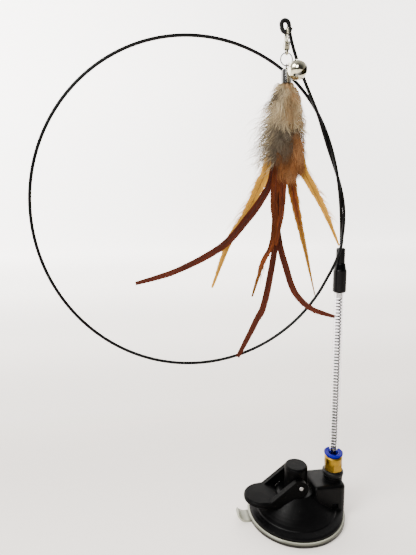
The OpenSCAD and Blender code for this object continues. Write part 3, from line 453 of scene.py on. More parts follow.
class Finish:
    """A material made from nodes round one Principled shader."""

    def __init__(self, name, colour, roughness, **sockets):
        self.material = bpy.data.materials.new(name)
        self.material.use_nodes = True
        self.tree = self.material.node_tree
        self.shader = self.tree.nodes["Principled BSDF"]
        self.shader.inputs["Base Color"].default_value = (*colour, 1)
        self.shader.inputs["Roughness"].default_value = roughness
        for title, value in sockets.items():
            self.shader.inputs[title.replace("_", " ")].default_value = value
        self.coords = self.add("ShaderNodeTexCoord").outputs["Object"]
        self.normal = None

    def add(self, kind, inputs=None, **settings):
        """Adds a node. inputs are values, or other nodes' outputs to link."""
        node = self.tree.nodes.new(kind)
        for title, value in settings.items():
            setattr(node, title, value)
        for title, value in (inputs or {}).items():
            self.feed(node.inputs[title], value)
        return node

    def link(self, a, b):
        """Links an output to an input."""
        self.tree.links.new(a, b)

    def feed(self, socket, value):
        """Links an output to the socket, or sets a number or a colour on it."""
        if isinstance(value, bpy.types.NodeSocket):
            self.link(value, socket)
        elif socket.type == "RGBA":
            socket.default_value = (*value, 1)
        else:
            socket.default_value = value

    def stretch(self, scale, coords=None):
        """The coordinates, scaled by a number for each axis."""
        return self.add("ShaderNodeMapping", {
            "Vector": coords or self.coords, "Scale": scale}).outputs[0]

    def grain(self, scale, detail=2, coords=None):
        """Noise between 0 and 1."""
        return self.add("ShaderNodeTexNoise", {
            "Vector": coords or self.coords, "Scale": scale, "Detail": detail}).outputs["Fac"]

    def ramp(self, value, stops):
        """A colour for the value. stops are pairs of place and colour."""
        node = self.add("ShaderNodeValToRGB", {"Fac": value})
        node.color_ramp.interpolation = "EASE"
        elements = node.color_ramp.elements
        while len(elements) < len(stops):
            elements.new(0.5)
        for element, (place, colour) in zip(elements, stops):
            element.position = place
            element.color = (*colour, 1)
        return node.outputs["Color"]

    def span(self, value, low, high, start=0.0, end=1.0):
        """Runs from low to high while the value runs from start to end."""
        return self.add("ShaderNodeMapRange", {
            "Value": value, "From Min": start, "From Max": end,
            "To Min": low, "To Max": high}).outputs[0]

    def maths(self, kind, a, b=0.0):
        """A sum, or another operation on two numbers."""
        node = self.add("ShaderNodeMath", operation=kind)
        self.feed(node.inputs[0], a)
        self.feed(node.inputs[1], b)
        return node.outputs[0]

    def blend(self, factor, a, b, kind="MIX"):
        """Mixes two colours. Sockets 0, 6 and 7 are its factor and its colour inputs."""
        node = self.add("ShaderNodeMix", data_type="RGBA", blend_type=kind)
        for place, value in ((0, factor), (6, a), (7, b)):
            self.feed(node.inputs[place], value)
        return node.outputs[2]

    def shade(self, value):
        """A grey from one number."""
        return self.add("ShaderNodeCombineColor", {
            "Red": value, "Green": value, "Blue": value}).outputs[0]

    def colour(self, socket):
        """Gives the shader its colour."""
        self.link(socket, self.shader.inputs["Base Color"])
        return self

    def roughness(self, socket):
        """Gives the shader its roughness."""
        self.link(socket, self.shader.inputs["Roughness"])
        return self

    def soft_edges(self, radius):
        """Worn edges, that catch the light."""
        self.normal = self.add("ShaderNodeBevel", {"Radius": radius}, samples=4).outputs[0]
        self.link(self.normal, self.shader.inputs["Normal"])
        return self

    def bump(self, height, strength, distance):
        """Fine relief on top of the soft edges."""
        node = self.add("ShaderNodeBump", {
            "Height": height, "Strength": strength, "Distance": distance})
        if self.normal:
            self.link(self.normal, node.inputs["Normal"])
        self.normal = node.outputs[0]
        self.link(self.normal, self.shader.inputs["Normal"])
        return self


def tinted(colour, factor):
    """The colour, made darker or lighter by the factor."""
    return tuple(min(1.0, c * factor) for c in colour)


def moulded(name, colour, roughness, grain=1800, depth=0.00004, edge=0.0003, spread=0.2, **sockets):
    """Moulded plastic or rubber: faint clouding, a fine grain, uneven gloss and worn edges."""
    f = Finish(name, colour, roughness, **sockets)
    if edge:
        f.soft_edges(edge)
    clouds = f.grain(90, 4)
    f.colour(f.ramp(clouds, [(0.3, tinted(colour, 1 - spread)), (0.7, tinted(colour, 1 + spread))]))
    f.roughness(f.span(f.grain(260, 5), roughness * 0.82, roughness * 1.18, 0.3, 0.7))
    return f.bump(f.grain(grain, 3), 0.35, depth)


def plated(name, colour, roughness, wave=320, depth=0.00003, edge=0.0, **sockets):
    """Plated or polished metal: slight waves, smears in the gloss and darker spots."""
    f = Finish(name, colour, roughness, Metallic=1.0, **sockets)
    if edge:
        f.soft_edges(edge)
    f.colour(f.ramp(f.grain(420, 4), [(0.28, tinted(colour, 0.72)), (0.6, colour)]))
    f.roughness(f.span(f.grain(700, 5), roughness * 0.6, roughness * 1.6, 0.3, 0.72))
    return f.bump(f.grain(wave, 2), 0.25, depth)


def turned(name, colour, roughness, edge=0.00018):
    """Metal turned on a lathe: fine rings along the height, and tarnish in the colour."""
    f = Finish(name, colour, roughness, Metallic=1.0)
    f.soft_edges(edge)
    rings = f.grain(1, 2, f.stretch((60, 60, 9000)))
    f.colour(f.ramp(f.grain(300, 4), [(0.25, tinted(colour, 0.62)), (0.5, colour),
                                      (0.8, tinted(colour, 1.12))]))
    f.roughness(f.span(rings, roughness * 0.7, roughness * 1.5, 0.3, 0.7))
    return f.bump(rings, 0.3, 0.00001)


def paint_bell_shade(finish, node, wall):
    """Paints shade into the inside of the bell, deeper than its wall: the dark inside is painted
    shade, not a colour of the metal. Its loop stands at the back and at the top, so the ball fills
    the low front corner of the node's own box."""
    points = [v.co for v in NODES[node].data.vertices]
    low = Vector([min(p[i] for p in points) for i in range(3)])
    radius = (max(p.x for p in points) - low.x) / 2
    centre = low + Vector((radius, radius, radius))
    far = finish.add("ShaderNodeVectorMath", {0: finish.coords, 1: tuple(centre)},
                     operation="DISTANCE")
    # Painted shade: deeper than the wall, the colour blends to the dark one
    inside = finish.span(far.outputs["Value"], 1, 0, radius - wall * 1.2, radius - wall * 0.8)
    outer = finish.shader.inputs["Base Color"].links[0].from_socket
    return finish.colour(finish.blend(inside, outer, BELL_PAINTED_SHADE))


def coat(node, finish):
    """Gives a node of the frame its finish."""
    slots = NODES[node].material_slots
    if not slots:
        raise RuntimeError(f"{node} has no material slot")
    for slot in slots:
        slot.material = finish.material


# ---------------------------------------------------------------- the rod's route


def loop_at(angle, depth):
    """A point on the loop."""
    a = math.radians(angle)
    return Vector((LOOP_X + LOOP_R * math.cos(a), depth, LOOP_Z + LOOP_R * LOOP_TALL * math.sin(a)))


def loop_along(angle):
    """The way that the loop runs at an angle."""
    a = math.radians(angle)
    return Vector((-math.sin(a), 0, LOOP_TALL * math.cos(a))).normalized()


def stand_at(t):
    """A point on the standing run, from the boot to where it joins the loop."""
    a, d = Vector((WAND_X, 0, BOOT_TOP)), loop_at(JOIN_ANGLE, 0)
    return bezier(a, a + UP * STAND_PULL, d - loop_along(JOIN_ANGLE) * STAND_PULL, d, t)


def wrap_at(t):
    """A point on the turn round the standing run."""
    turn = 2 * math.pi * (1 - (t - WRAP_START) / (WRAP_END - WRAP_START))
    return stand_at(t) + Vector((-math.sin(turn), -math.cos(turn), 0)) * WRAP_R


def eye_points():
    """The end eye: a long ring, drawn flat, then tilted and set out along Y."""
    flat = [(EYE_R, 0), (EYE_R, EYE_SIDE / 2)]
    flat += [(EYE_R * math.cos(math.radians(a)), EYE_SIDE + EYE_R * math.sin(math.radians(a)))
             for a in [180 * i / EYE_STEPS for i in range(EYE_STEPS + 1)]]
    flat += [(-EYE_R, EYE_SIDE / 2)]
    flat += [(EYE_R * math.cos(math.radians(a)), EYE_R * math.sin(math.radians(a)))
             for a in [180 + 170 * i / EYE_STEPS for i in range(EYE_STEPS + 1)]]
    c, s, last = math.cos(EYE_TILT), math.sin(EYE_TILT), len(flat) - 1
    return [Vector((HANG.x + u * c - (w + EYE_R) * s, HANG.y + EYE_SHIFT * (EYE_BAR - k / last),
                    HANG_Z + u * s + (w + EYE_R) * c)) for k, (u, w) in enumerate(flat)]


def rod_route():
    """Boot, standing run, loop, turns round the standing run, and the end eye."""
    eye = eye_points()
    wraps = [wrap_at(WRAP_START + (WRAP_END - WRAP_START) * k / WRAP_STEPS)
             for k in range(WRAP_STEPS + 1)]
    away = (wraps[-1] - wrap_at(WRAP_END - 0.03)).normalized()
    end = loop_at(LOOP_END, -LOOP_FRONT)
    route = [Vector((WAND_X, 0, ROD_FOOT)), Vector((WAND_X, 0, (ROD_FOOT + BOOT_TOP) / 2))]
    route += [stand_at(k / STAND_STEPS) for k in range(STAND_STEPS + 1)]
    angle = JOIN_ANGLE + LOOP_STEP
    while angle <= LOOP_END - 3:
        forward = smooth((angle - FRONT_ANGLE) / (LOOP_END - FRONT_ANGLE))
        route.append(loop_at(angle, -LOOP_FRONT * forward))
        angle += LOOP_STEP
    route.append(end)
    route += [bezier(end, end + loop_along(LOOP_END) * LEAD - SIDE * (WRAP_R / 2),
                     wraps[0] + Vector((-WRAP_R / 3, -WRAP_R, -LEAD)), wraps[0], t)
              for t in (0.2, 0.4, 0.6, 0.8)]
    route += wraps
    route += [bezier(wraps[-1], wraps[-1] + away * 1.4 * LEAD, eye[0] - EYE_UP * 1.4 * LEAD, eye[0],
                     0.14 * i) for i in range(1, 7)]
    return route + eye


# ---------------------------------------------------------------- feathers


def lure_point(across, drop, depth):
    """A point under the cap, from shares of the lure's length."""
    return Vector((HANG.x + across * LURE_LEN, depth, CAP_Z - drop * LURE_LEN))


def feather_route(node):
    """The quill's root and bend, and the vane's curve, in metres."""
    hole, layer, shares = FEATHERS[node]
    a = math.radians(45 * hole)
    root = HANG + Vector((QUILL_CIRCLE * math.cos(a), QUILL_CIRCLE * math.sin(a), 0))
    depth = HANG.y - LAYER_STEP * (layer + 0.3)
    bend = root + UP * PLUME_TOP
    points = [lure_point(*s, depth) for s in shares]
    vane = spline([bend.lerp(points[0], VANE_START)] + points, VANE_STEPS)
    return root + UP * QUILL_TOP, bend, vane


def along(route):
    """Running length at each point of a route."""
    total, out = 0.0, [0.0]
    for a, b in zip(route, route[1:]):
        total += (b - a).length
        out.append(total)
    return out


def at_length(route, lengths, want):
    """The point at a running length, and the way that the route runs there."""
    for k in range(len(route) - 1):
        if lengths[k + 1] >= want:
            t = (want - lengths[k]) / max(1e-9, lengths[k + 1] - lengths[k])
            return route[k].lerp(route[k + 1], t), (route[k + 1] - route[k]).normalized()
    return route[-1].copy(), (route[-1] - route[-2]).normalized()


def vane_share(share, shape):
    """How wide the vane is at a share of its length, against its widest."""
    grow = shape["root"] + (1 - shape["root"]) * smooth(share / shape["rise"])
    return grow * (1 - share) ** shape["taper"]


def closed_barbs(sheaf, vane, lengths, side, shape, seed, step, chance):
    """One side of the vane: fine barbs that cling together in groups, with small steps between
    the groups. side is 1 on the left and -1 on the right."""
    total = lengths[-1]
    wide = shape["left"] if side > 0 else shape["right"]
    count = int(total / step)
    split = chance.random()
    thick = step * 1.9
    for i in range(count):
        share = (i + 0.3 + 0.4 * chance.random()) / count
        point, way = at_length(vane, lengths, share * total)
        out = way.cross(-SIDE) * side
        group = noise.noise(Vector((share * 9 + seed, side * 5, split * 9)))
        fine = noise.noise(Vector((share * 70 + seed, side * 3, split * 7)))
        reach = wide * vane_share(share, shape)
        reach *= 1 + shape["ragged"] * (group + fine + chance.uniform(-0.35, 0.35))
        sweep = min(wide * (2.1 + 0.5 * chance.random()), (1 - share) * total + 0.8 * MM)
        cup = -abs(reach) * 0.12
        points = [point + out * reach * (1 - (1 - t) ** 1.6) + way * sweep * t ** 1.35
                  + SIDE * (cup * t * t + chance.uniform(-1, 1) * 0.02 * MM)
                  for t in (0, 0.3, 0.65, 1)]
        sheaf.ribbon(points, [thick, thick, thick * 0.8, thick * 0.25], SIDE, (share, 0.5),
                     (share, 0.5 + 0.5 * side),
                     0.5 + 0.4 * group + 0.3 * fine + chance.uniform(-0.15, 0.15))


def loose_barbs(sheaf, vane, lengths, side, start, end, reach, count, chance):
    """Soft barbs that stand away from one side of the vane."""
    for _ in range(count):
        share = start + (end - start) * chance.random()
        point, way = at_length(vane, lengths, share * lengths[-1])
        out = way.cross(-SIDE) * side
        far = reach * chance.uniform(0.45, 1)
        lean = chance.uniform(0.25, 0.75)
        lift = chance.uniform(-0.35, 0.1) * far
        points = [point + out * far * lean * math.sin(t * 1.5) + way * far * 1.3 * t ** 1.2
                  + SIDE * lift * t * t for t in QUARTERS]
        sheaf.ribbon(points, [LOOSE_W * w for w in (1, 1, 0.8, 0.5, 0.15)], SIDE, (share, 0.5),
                     (share, 0.5 + 0.5 * side), chance.uniform(0.5, 1))


def build_feather(node, shape, materials, seed, step):
    """Quill, closed vane of fine barbs, and loose soft barbs.

    shape: widths of the two vanes in metres, the share of the width at the root, the share of
    the length where the vane is full, how it tapers, how ragged it is, and the loose barbs as
    (side, start share, end share, length, count)."""
    chance = random.Random(seed)
    root, bend, vane = feather_route(node)
    lengths = along(vane)
    shares = [length / lengths[-1] for length in lengths]
    sheaf = Sheaf()
    shaft = [SHAFT_ROOT_R + (SHAFT_TIP_R - SHAFT_ROOT_R) * t for t in shares]
    sheaf.tube([root, bend] + vane, [QUILL_R, QUILL_R] + shaft, FINE_SIDES, slot=1,
               place=[0.0, 0.0] + shares)
    for side in (-1, 1):
        closed_barbs(sheaf, vane, lengths, side, shape, seed, step, chance)
    for side, start, end, reach, count in shape.get("loose", []):
        loose_barbs(sheaf, vane, lengths, side, start, end, reach, count, chance)
    obj = sheaf.piece(node.replace("feather_", "long_feather_"), *materials)
    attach(obj, "lure")
    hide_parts(node)
    return obj


def feather_finish(name, stops, streak, edge, quill):
    """Vane and quill finishes: colour along the length, barb lines and streaks.

    stops: colours from root to tip. streak: a second colour that runs in along the barbs.
    edge: the colour of the barbs' loose outer ends."""
    vane = Finish(name, stops[0][1], 0.55, Specular_IOR_Level=0.06)
    uv = vane.add("ShaderNodeUVMap", uv_map="Place").outputs[0]
    luck = vane.add("ShaderNodeUVMap", uv_map="Chance").outputs[0]
    parts = vane.add("ShaderNodeSeparateXYZ", {"Vector": uv})
    chances = vane.add("ShaderNodeSeparateXYZ", {"Vector": luck})
    shake = vane.span(vane.grain(700, 3), -0.06, 0.06)
    run = vane.ramp(vane.maths("ADD", parts.outputs[0], shake), stops)
    fine = vane.grain(1, 3, vane.stretch((16, 34, 1), uv))
    run = vane.blend(vane.span(fine, 0.0, 0.8, 0.42, 0.72), run, streak)
    outer = vane.maths("ABSOLUTE", vane.maths("SUBTRACT", parts.outputs[1], 0.5))
    ragged = vane.maths("ADD", outer, vane.span(fine, -0.08, 0.08))
    run = vane.blend(vane.span(ragged, 0, 0.85, 0.3, 0.5), run, edge)
    light = vane.shade(vane.span(chances.outputs[0], 0.55, 1.45))
    vane.colour(vane.blend(1.0, run, light, "MULTIPLY"))
    vane.roughness(vane.span(fine, 0.45, 0.7, 0.3, 0.7))
    vane.bump(vane.grain(1, 2, vane.stretch((900, 3, 1), uv)), 0.5, 0.00005)
    stem = Finish(name + "_quill", quill, 0.4, Specular_IOR_Level=0.12)
    stem_grain = stem.grain(1, 3, stem.stretch((900, 900, 120)))
    stem.colour(stem.ramp(stem_grain, [(0.3, tinted(quill, 0.6)), (0.7, tinted(quill, 1.25))]))
    stem.bump(stem_grain, 0.3, 0.00003)
    return vane.material, stem.material


# ---------------------------------------------------------------- plumes


def plume_section(drop):
    """Left, right and depth shares of the tuft at a share of its drop."""
    for a, b in zip(DOWN_SHARES, DOWN_SHARES[1:]):
        if b[0] >= drop:
            t = (drop - a[0]) / (b[0] - a[0])
            return [a[i] * (1 - t) + b[i] * t for i in (1, 2, 3)]
    return DOWN_SHARES[-1][1:]


def part_line(shares, drop):
    """Where the plane between two plumes lies, as a distance from the lure's middle."""
    low, neck = shares
    return PLUME_W * (neck * (1 - drop) + low * drop)


def plume_limits(name, drop):
    """The range across that a plume holds at a share of the drop."""
    left, right, deep = plume_section(drop)
    low, high = left * PLUME_W, right * PLUME_W
    cut_left, cut_right = part_line(PART_LEFT, drop), part_line(PART_RIGHT, drop)
    if name == "plume_left":
        high = min(high, cut_left)
    elif name == "plume_right":
        low = max(low, cut_right)
    else:
        low, high = max(low, cut_left), min(high, cut_right)
    return low, high, deep * PLUME_T / 2


def plume_mid_y(drop):
    """The plumes' middle, which comes forward a little below the cap."""
    return HANG.y - PLUME_T * 0.13 * min(1, drop * 4)


# Patches of colour in the down, listed one by one: across and drop under the cap, size, tone,
# strength
DOWN_PATCHES = [
    (-2.2, 3, 3.5, 0.34, 0.8), (1.5, 6, 4, 0.56, 0.7), (-5, 9, 4, 0.12, 0.9),
    (-8.5, 14, 5, 0.12, 0.9), (-3.5, 16, 4, 0.4, 0.6), (1, 19, 4.5, 0.46, 0.9),
    (6.5, 19, 4.5, 0.36, 0.9), (-2, 23.5, 4.5, 0.44, 1), (6.5, 26, 4, 0.38, 0.9),
    (-9, 28, 6.5, 0.16, 1), (-11, 39, 8, 0.08, 1), (5.5, 34, 4, -0.41, 1),
    (7, 40, 6, -0.38, 1), (9.3, 30, 2, 0.0, 0.9), (-3, 48, 5, -0.14, 1), (3, 47, 5, -0.22, 1),
    (8, 47, 5, -0.26, 1), (0, 55, 8, -0.26, 1), (-3, 32, 5, 0.06, 1), (-2, 39, 5, -0.02, 1)]


def plume_tone(point, chance):
    """Place in the colour ramp, which runs round: 0 dark, 0.15 grey, 0.29 pale, 0.44 beige,
    0.62 tan, 0.8 rust, 1 deep brown. Below 0 it runs back from deep brown to rust and tan."""
    x, z = (point.x - HANG.x) / MM, (PLUME_TOP - point.z) / MM
    tone = PLAIN_TONE
    for across, drop, size, patch, strength in DOWN_PATCHES:
        near = math.exp(-(((x - across) ** 2 + (z - drop) ** 2) / size ** 2) ** 1.3)
        tone += (patch - tone) * near * strength
    return tone + noise.noise(point * 210) * 0.14 + chance.uniform(-0.06, 0.06)


def down_point(across, forward, drop):
    """A point in the down, from distances across and forward and a share of the drop."""
    return Vector((HANG.x + across, plume_mid_y(drop) - forward, PLUME_TOP - PLUME_LEN * drop))


def soft_core(sheaf, node, chance):
    """The close down in the middle of a plume, which the tufts hide."""
    first = len(sheaf.points)
    for k in range(CORE_RINGS + 1):
        drop = k / CORE_RINGS
        low, high, deep = plume_limits(node, drop)
        mid, half = (low + high) / 2, (high - low) / 2
        shrink = 0.62 - 0.3 * drop
        for i in range(CORE_SIDES):
            a = 2 * math.pi * i / CORE_SIDES
            p = down_point(mid * (1 - 0.25 * drop) + half * shrink * math.cos(a),
                           deep * shrink * math.sin(a), drop)
            p += Vector((1, 1, 0.4)) * noise.noise(p * 330) * 0.5 * MM * min(1, drop * 5)
            sheaf.points.append(p)
            sheaf.place.append((min(0.99, max(0.01, plume_tone(p, chance))), drop))
            # A low Chance value, which the down finish turns into painted shade on the hidden core
            sheaf.chance.append((0.3, 0.1))
    sheaf.wall(first, CORE_RINGS, CORE_SIDES, 0)
    for ring, order in ((0, 1), (CORE_RINGS, -1)):
        corners = tuple(first + ring * CORE_SIDES + i for i in range(CORE_SIDES))
        sheaf.faces.append(corners[::order])
        sheaf.slots.append(0)


def tuft(sheaf, tip, way, reach, fan, settings, chance, barbs=None, thick=1.0, shade=1.0):
    """A bundle of fine barbs from one root, that part toward their loose ends.

    way and reach: how it runs and how long it is. fan: how far the ends part. thick and shade:
    factors for the barbs' width and tone."""
    root = tip - way * reach
    across = way.cross(SIDE).normalized()
    bow = chance.uniform(-0.16, 0.16)
    light = chance.uniform(0.2, 0.8)
    for n in range(barbs or settings.barbs):
        lean, depth = chance.uniform(-1, 1), chance.uniform(-1, 1)
        start = root + across * lean * 0.35 * MM + SIDE * depth * 0.35 * MM
        end = (tip + across * lean * fan + SIDE * depth * fan * 0.7
               - way * reach * chance.uniform(0, 0.5))
        curve = across * (bow + 0.12 * lean) * reach
        wave, phase = chance.uniform(0, 0.05) * reach, chance.uniform(0, 6)
        points = [start.lerp(end, t) + curve * 4 * t * (1 - t)
                  + across * wave * math.sin(5 * t + phase) for t in QUARTERS]
        w = settings.barb_w * thick * chance.uniform(0.6, 1.3)
        face = (SIDE * -1 + across * chance.uniform(-0.8, 0.8)).normalized()
        tone = (0.8 * plume_tone(tip, chance) + 0.2 * plume_tone(root, chance)) * shade % 1
        sheaf.ribbon(points, [w, w, w * 0.85, w * 0.6, w * 0.2], face, (tone, 0),
                     chance=min(1, max(0, light + chance.uniform(-0.2, 0.2))))


def cover(sheaf, node, settings, chance):
    """Tufts that overlap over the core, down to the plume's end."""
    longest = {"plume_middle": 1.3, "plume_right": 1.2}.get(node, 1.05)
    for n in range(settings.tufts):
        drop = 0.06 + (longest - 0.06) * (n + chance.random()) / settings.tufts
        low, high, deep = plume_limits(node, drop)
        around, shell = chance.uniform(0, 2 * math.pi), 1 - 0.5 * chance.random() ** 1.5
        mid, half = (low + high) / 2, (high - low) / 2
        across = mid + half * math.cos(around) * shell
        tip = down_point(across, deep * math.sin(around) * shell, drop)
        lean = across / PLUME_W
        outward = 1.8 * lean if lean < 0 else 0.8 * lean
        way = Vector((outward + chance.uniform(-0.2, 0.2),
                      -0.3 * math.sin(around) + chance.uniform(-0.12, 0.12), -1)).normalized()
        reach = settings.tuft_len * chance.uniform(0.6, 1) * (0.35 + 0.65 * smooth(drop * 2.5))
        tuft(sheaf, tip, way, reach, reach * chance.uniform(0.12, 0.3), settings, chance)


def outer_wisps(sheaf, node, edge, settings, chance):
    """Thin wisps along the outer edge. edge is -1 on the left, where they are longer, and 1 on
    the right."""
    for n in range(settings.wisps):
        drop = 0.04 + 0.96 * (n + chance.random()) / settings.wisps
        low, high, deep = plume_limits(node, drop)
        depth = chance.uniform(-0.6, 0.6)
        far, side = (2.1, low) if edge < 0 else (0.65, high)
        reach = settings.tuft_len * far * chance.uniform(0.4, 1) * (0.3 + 0.7 * smooth(drop * 1.5))
        steep = chance.uniform(0.5, 1.7) if edge < 0 else chance.uniform(0.4, 1.2)
        way = Vector((edge * steep, 0.25 * depth, -1)).normalized()
        start = Vector((HANG.x + side * chance.uniform(0.35, 0.95),
                        plume_mid_y(drop) + deep * depth,
                        PLUME_TOP - PLUME_LEN * max(0.01, drop - 0.1)))
        tuft(sheaf, start + way * reach, way, reach, reach * chance.uniform(0.1, 0.32), settings,
             chance, settings.barbs // 3, 1.2, 0.7 if edge < 0 else 0.8)


def apron_tufts(sheaf, node, settings, chance):
    """Tufts in front that hang over the feathers' roots."""
    for _ in range(settings.apron):
        drop = chance.uniform(0.9, 1.32 if node == "plume_middle" else 1.22)
        low, high, deep = plume_limits(node, drop)
        tip = down_point(chance.uniform(low, high), deep * chance.uniform(0.75, 1), drop)
        way = Vector((chance.uniform(-0.25, 0.3), chance.uniform(-0.12, 0.02), -1)).normalized()
        reach = settings.tuft_len * chance.uniform(0.7, 1.1)
        tuft(sheaf, tip, way, reach, reach * chance.uniform(0.12, 0.3), settings, chance)


def build_plume(node, material, settings, seed):
    """A soft core under overlapping tufts, and thin wisps that make the ragged outline."""
    chance = random.Random(seed)
    edge = {"plume_left": -1, "plume_right": 1}.get(node, 0)
    sheaf = Sheaf()
    soft_core(sheaf, node, chance)
    cover(sheaf, node, settings, chance)
    if edge:
        outer_wisps(sheaf, node, edge, settings, chance)
    if edge >= 0:
        apron_tufts(sheaf, node, settings, chance)
    obj = sheaf.piece(node.replace("plume_", "down_"), material)
    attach(obj, "lure")
    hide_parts(node)
    return obj


def down_finish(name, settings):
    """Down: the colour follows the tone in the Place map, and each tuft is lit a little apart by
    painted light, with painted shade towards the barbs' roots.
    """
    f = Finish(name, settings.beige, 0.9, Specular_IOR_Level=0.04)
    uv = f.add("ShaderNodeUVMap", uv_map="Place").outputs[0]
    luck = f.add("ShaderNodeUVMap", uv_map="Chance").outputs[0]
    tone = f.add("ShaderNodeSeparateXYZ", {"Vector": uv}).outputs[0]
    parts = f.add("ShaderNodeSeparateXYZ", {"Vector": luck})
    base = f.ramp(f.maths("ADD", tone, f.span(f.grain(500, 3), -0.05, 0.05)), [
        (0.0, tuple(settings.dusk)), (0.15, tuple(settings.grey)), (0.29, tuple(settings.pale)),
        (0.44, tuple(settings.beige)), (0.62, tuple(settings.tan)), (0.8, tuple(settings.rust)),
        (1.0, tuple(settings.deep))])
    # Painted light and shade: a brightness for each tuft from the Chance map, darker at the barbs'
    # roots and lighter at their tips
    lift = f.maths("ADD", f.span(parts.outputs[0], 0.55, 1.3), f.span(parts.outputs[1], -0.15, 0.3))
    f.colour(f.blend(1.0, base, f.shade(lift), "MULTIPLY"))
    f.roughness(f.span(f.grain(900, 2), 0.75, 0.95))
    f.bump(f.grain(2600, 4), 0.6, 0.0001)
    return f.material


# ---------------------------------------------------------------- stage


def paper_finish(s):
    """Plain paper with a painted glow of its own: brighter further back and up, and to the left."""
    f = Finish("paper", s.floor, 0.75, Specular_IOR_Level=0.1)
    f.colour(f.ramp(f.grain(3, 3), [(0.2, tinted(s.floor, 0.985)), (0.8, s.floor)]))
    where = f.add("ShaderNodeSeparateXYZ", {"Vector": f.coords})
    back = f.maths("ADD", where.outputs[1], where.outputs[2])
    stops = [((spot - GLOW_START) / (GLOW_END - GLOW_START),
              (light, light * (1 - warm), light * (1 - 2.2 * warm)))
             for spot, light, warm in PAPER_GLOW]
    glow = f.ramp(f.span(back, 0, 1, GLOW_START, GLOW_END), stops)
    # Painted light: the glow is brighter to the left
    side = f.shade(f.span(where.outputs[0], 1.25, 0.7, -0.9, 0.7))
    f.link(f.blend(1.0, glow, side, "MULTIPLY"), f.shader.inputs["Emission Color"])
    f.shader.inputs["Emission Strength"].default_value = s.glow
    f.roughness(f.span(f.grain(40, 3), 0.6, 0.85))
    return f.bump(f.grain(900, 3), 0.05, 0.00005)


def lay_paper(scene, s):
    """One sheet of paper as the floor, bent up behind the object."""
    profile = [(PAPER_FRONT, 0.0), (PAPER_BACK, 0.0)]
    for degrees in range(6, 91, 6):
        a = math.radians(degrees)
        profile.append((PAPER_BACK + PAPER_BEND * math.sin(a),
                        PAPER_BEND - PAPER_BEND * math.cos(a)))
    profile.append((PAPER_BACK + PAPER_BEND, PAPER_TOP))
    points = [(x, y, z) for y, z in profile for x in (-PAPER_SIDE, PAPER_SIDE)]
    mesh = bpy.data.meshes.new("floor")
    mesh.from_pydata(points, [], [(2 * i, 2 * i + 1, 2 * i + 3, 2 * i + 2)
                                  for i in range(len(profile) - 1)])
    mesh.shade_smooth()
    mesh.materials.append(paper_finish(s).material)
    floor = bpy.data.objects.new("floor", mesh)
    scene.collection.objects.link(floor)


def fill_room(scene, s):
    """Soft light all round, which fades out towards the front."""
    world = bpy.data.worlds.new("room")
    world.use_nodes = True
    nodes, links = world.node_tree.nodes, world.node_tree.links
    sky = nodes["Background"].inputs
    sky["Color"].default_value = (1.0, 0.985, 0.97, 1)
    look, split = nodes.new("ShaderNodeTexCoord"), nodes.new("ShaderNodeSeparateXYZ")
    fade = nodes.new("ShaderNodeMapRange")
    for title, value in (("From Min", -0.8), ("From Max", 0.3), ("To Min", s.room * 0.05),
                         ("To Max", s.room)):
        fade.inputs[title].default_value = value
    links.new(look.outputs["Generated"], split.inputs[0])
    links.new(split.outputs[1], fade.inputs["Value"])
    links.new(fade.outputs[0], sky["Strength"])
    scene.world = world


def hang_lamp(scene, name, place, target, size, power, colour):
    """A square lamp that points at the target."""
    light = bpy.data.lights.new(name, "AREA")
    light.shape, light.size, light.energy, light.color = "SQUARE", size, power, colour
    lamp = bpy.data.objects.new(name, light)
    lamp.location = place
    lamp.rotation_euler = (Vector(target) - Vector(place)).to_track_quat("-Z", "Y").to_euler()
    scene.collection.objects.link(lamp)


def set_camera(scene, s):
    """The camera at the photograph's place, from its pitch, roll and turn."""
    camera = bpy.data.cameras.new("camera")
    camera.sensor_fit, camera.sensor_width, camera.lens = "HORIZONTAL", 36, s.lens
    camera.clip_start, camera.clip_end = 0.01, 50
    sn, c = math.sin(s.pitch), math.cos(s.pitch)
    sr, cr = math.sin(s.roll), math.cos(s.roll)
    right, upward, ahead = (cr, -sr * sn, -sr * c), (sr, cr * sn, cr * c), (0, c, -sn)
    turn = Matrix.Rotation(-s.turn, 3, "Z")
    columns = [turn @ Vector(right), turn @ Vector(upward), -(turn @ Vector(ahead))]
    view = Matrix(columns).transposed().to_4x4()
    view.translation = Vector(CAMERA_PLACE)
    eye = bpy.data.objects.new("camera", camera)
    eye.matrix_world = view
    scene.collection.objects.link(eye)
    scene.camera = eye


# ---------------------------------------------------------------- operators


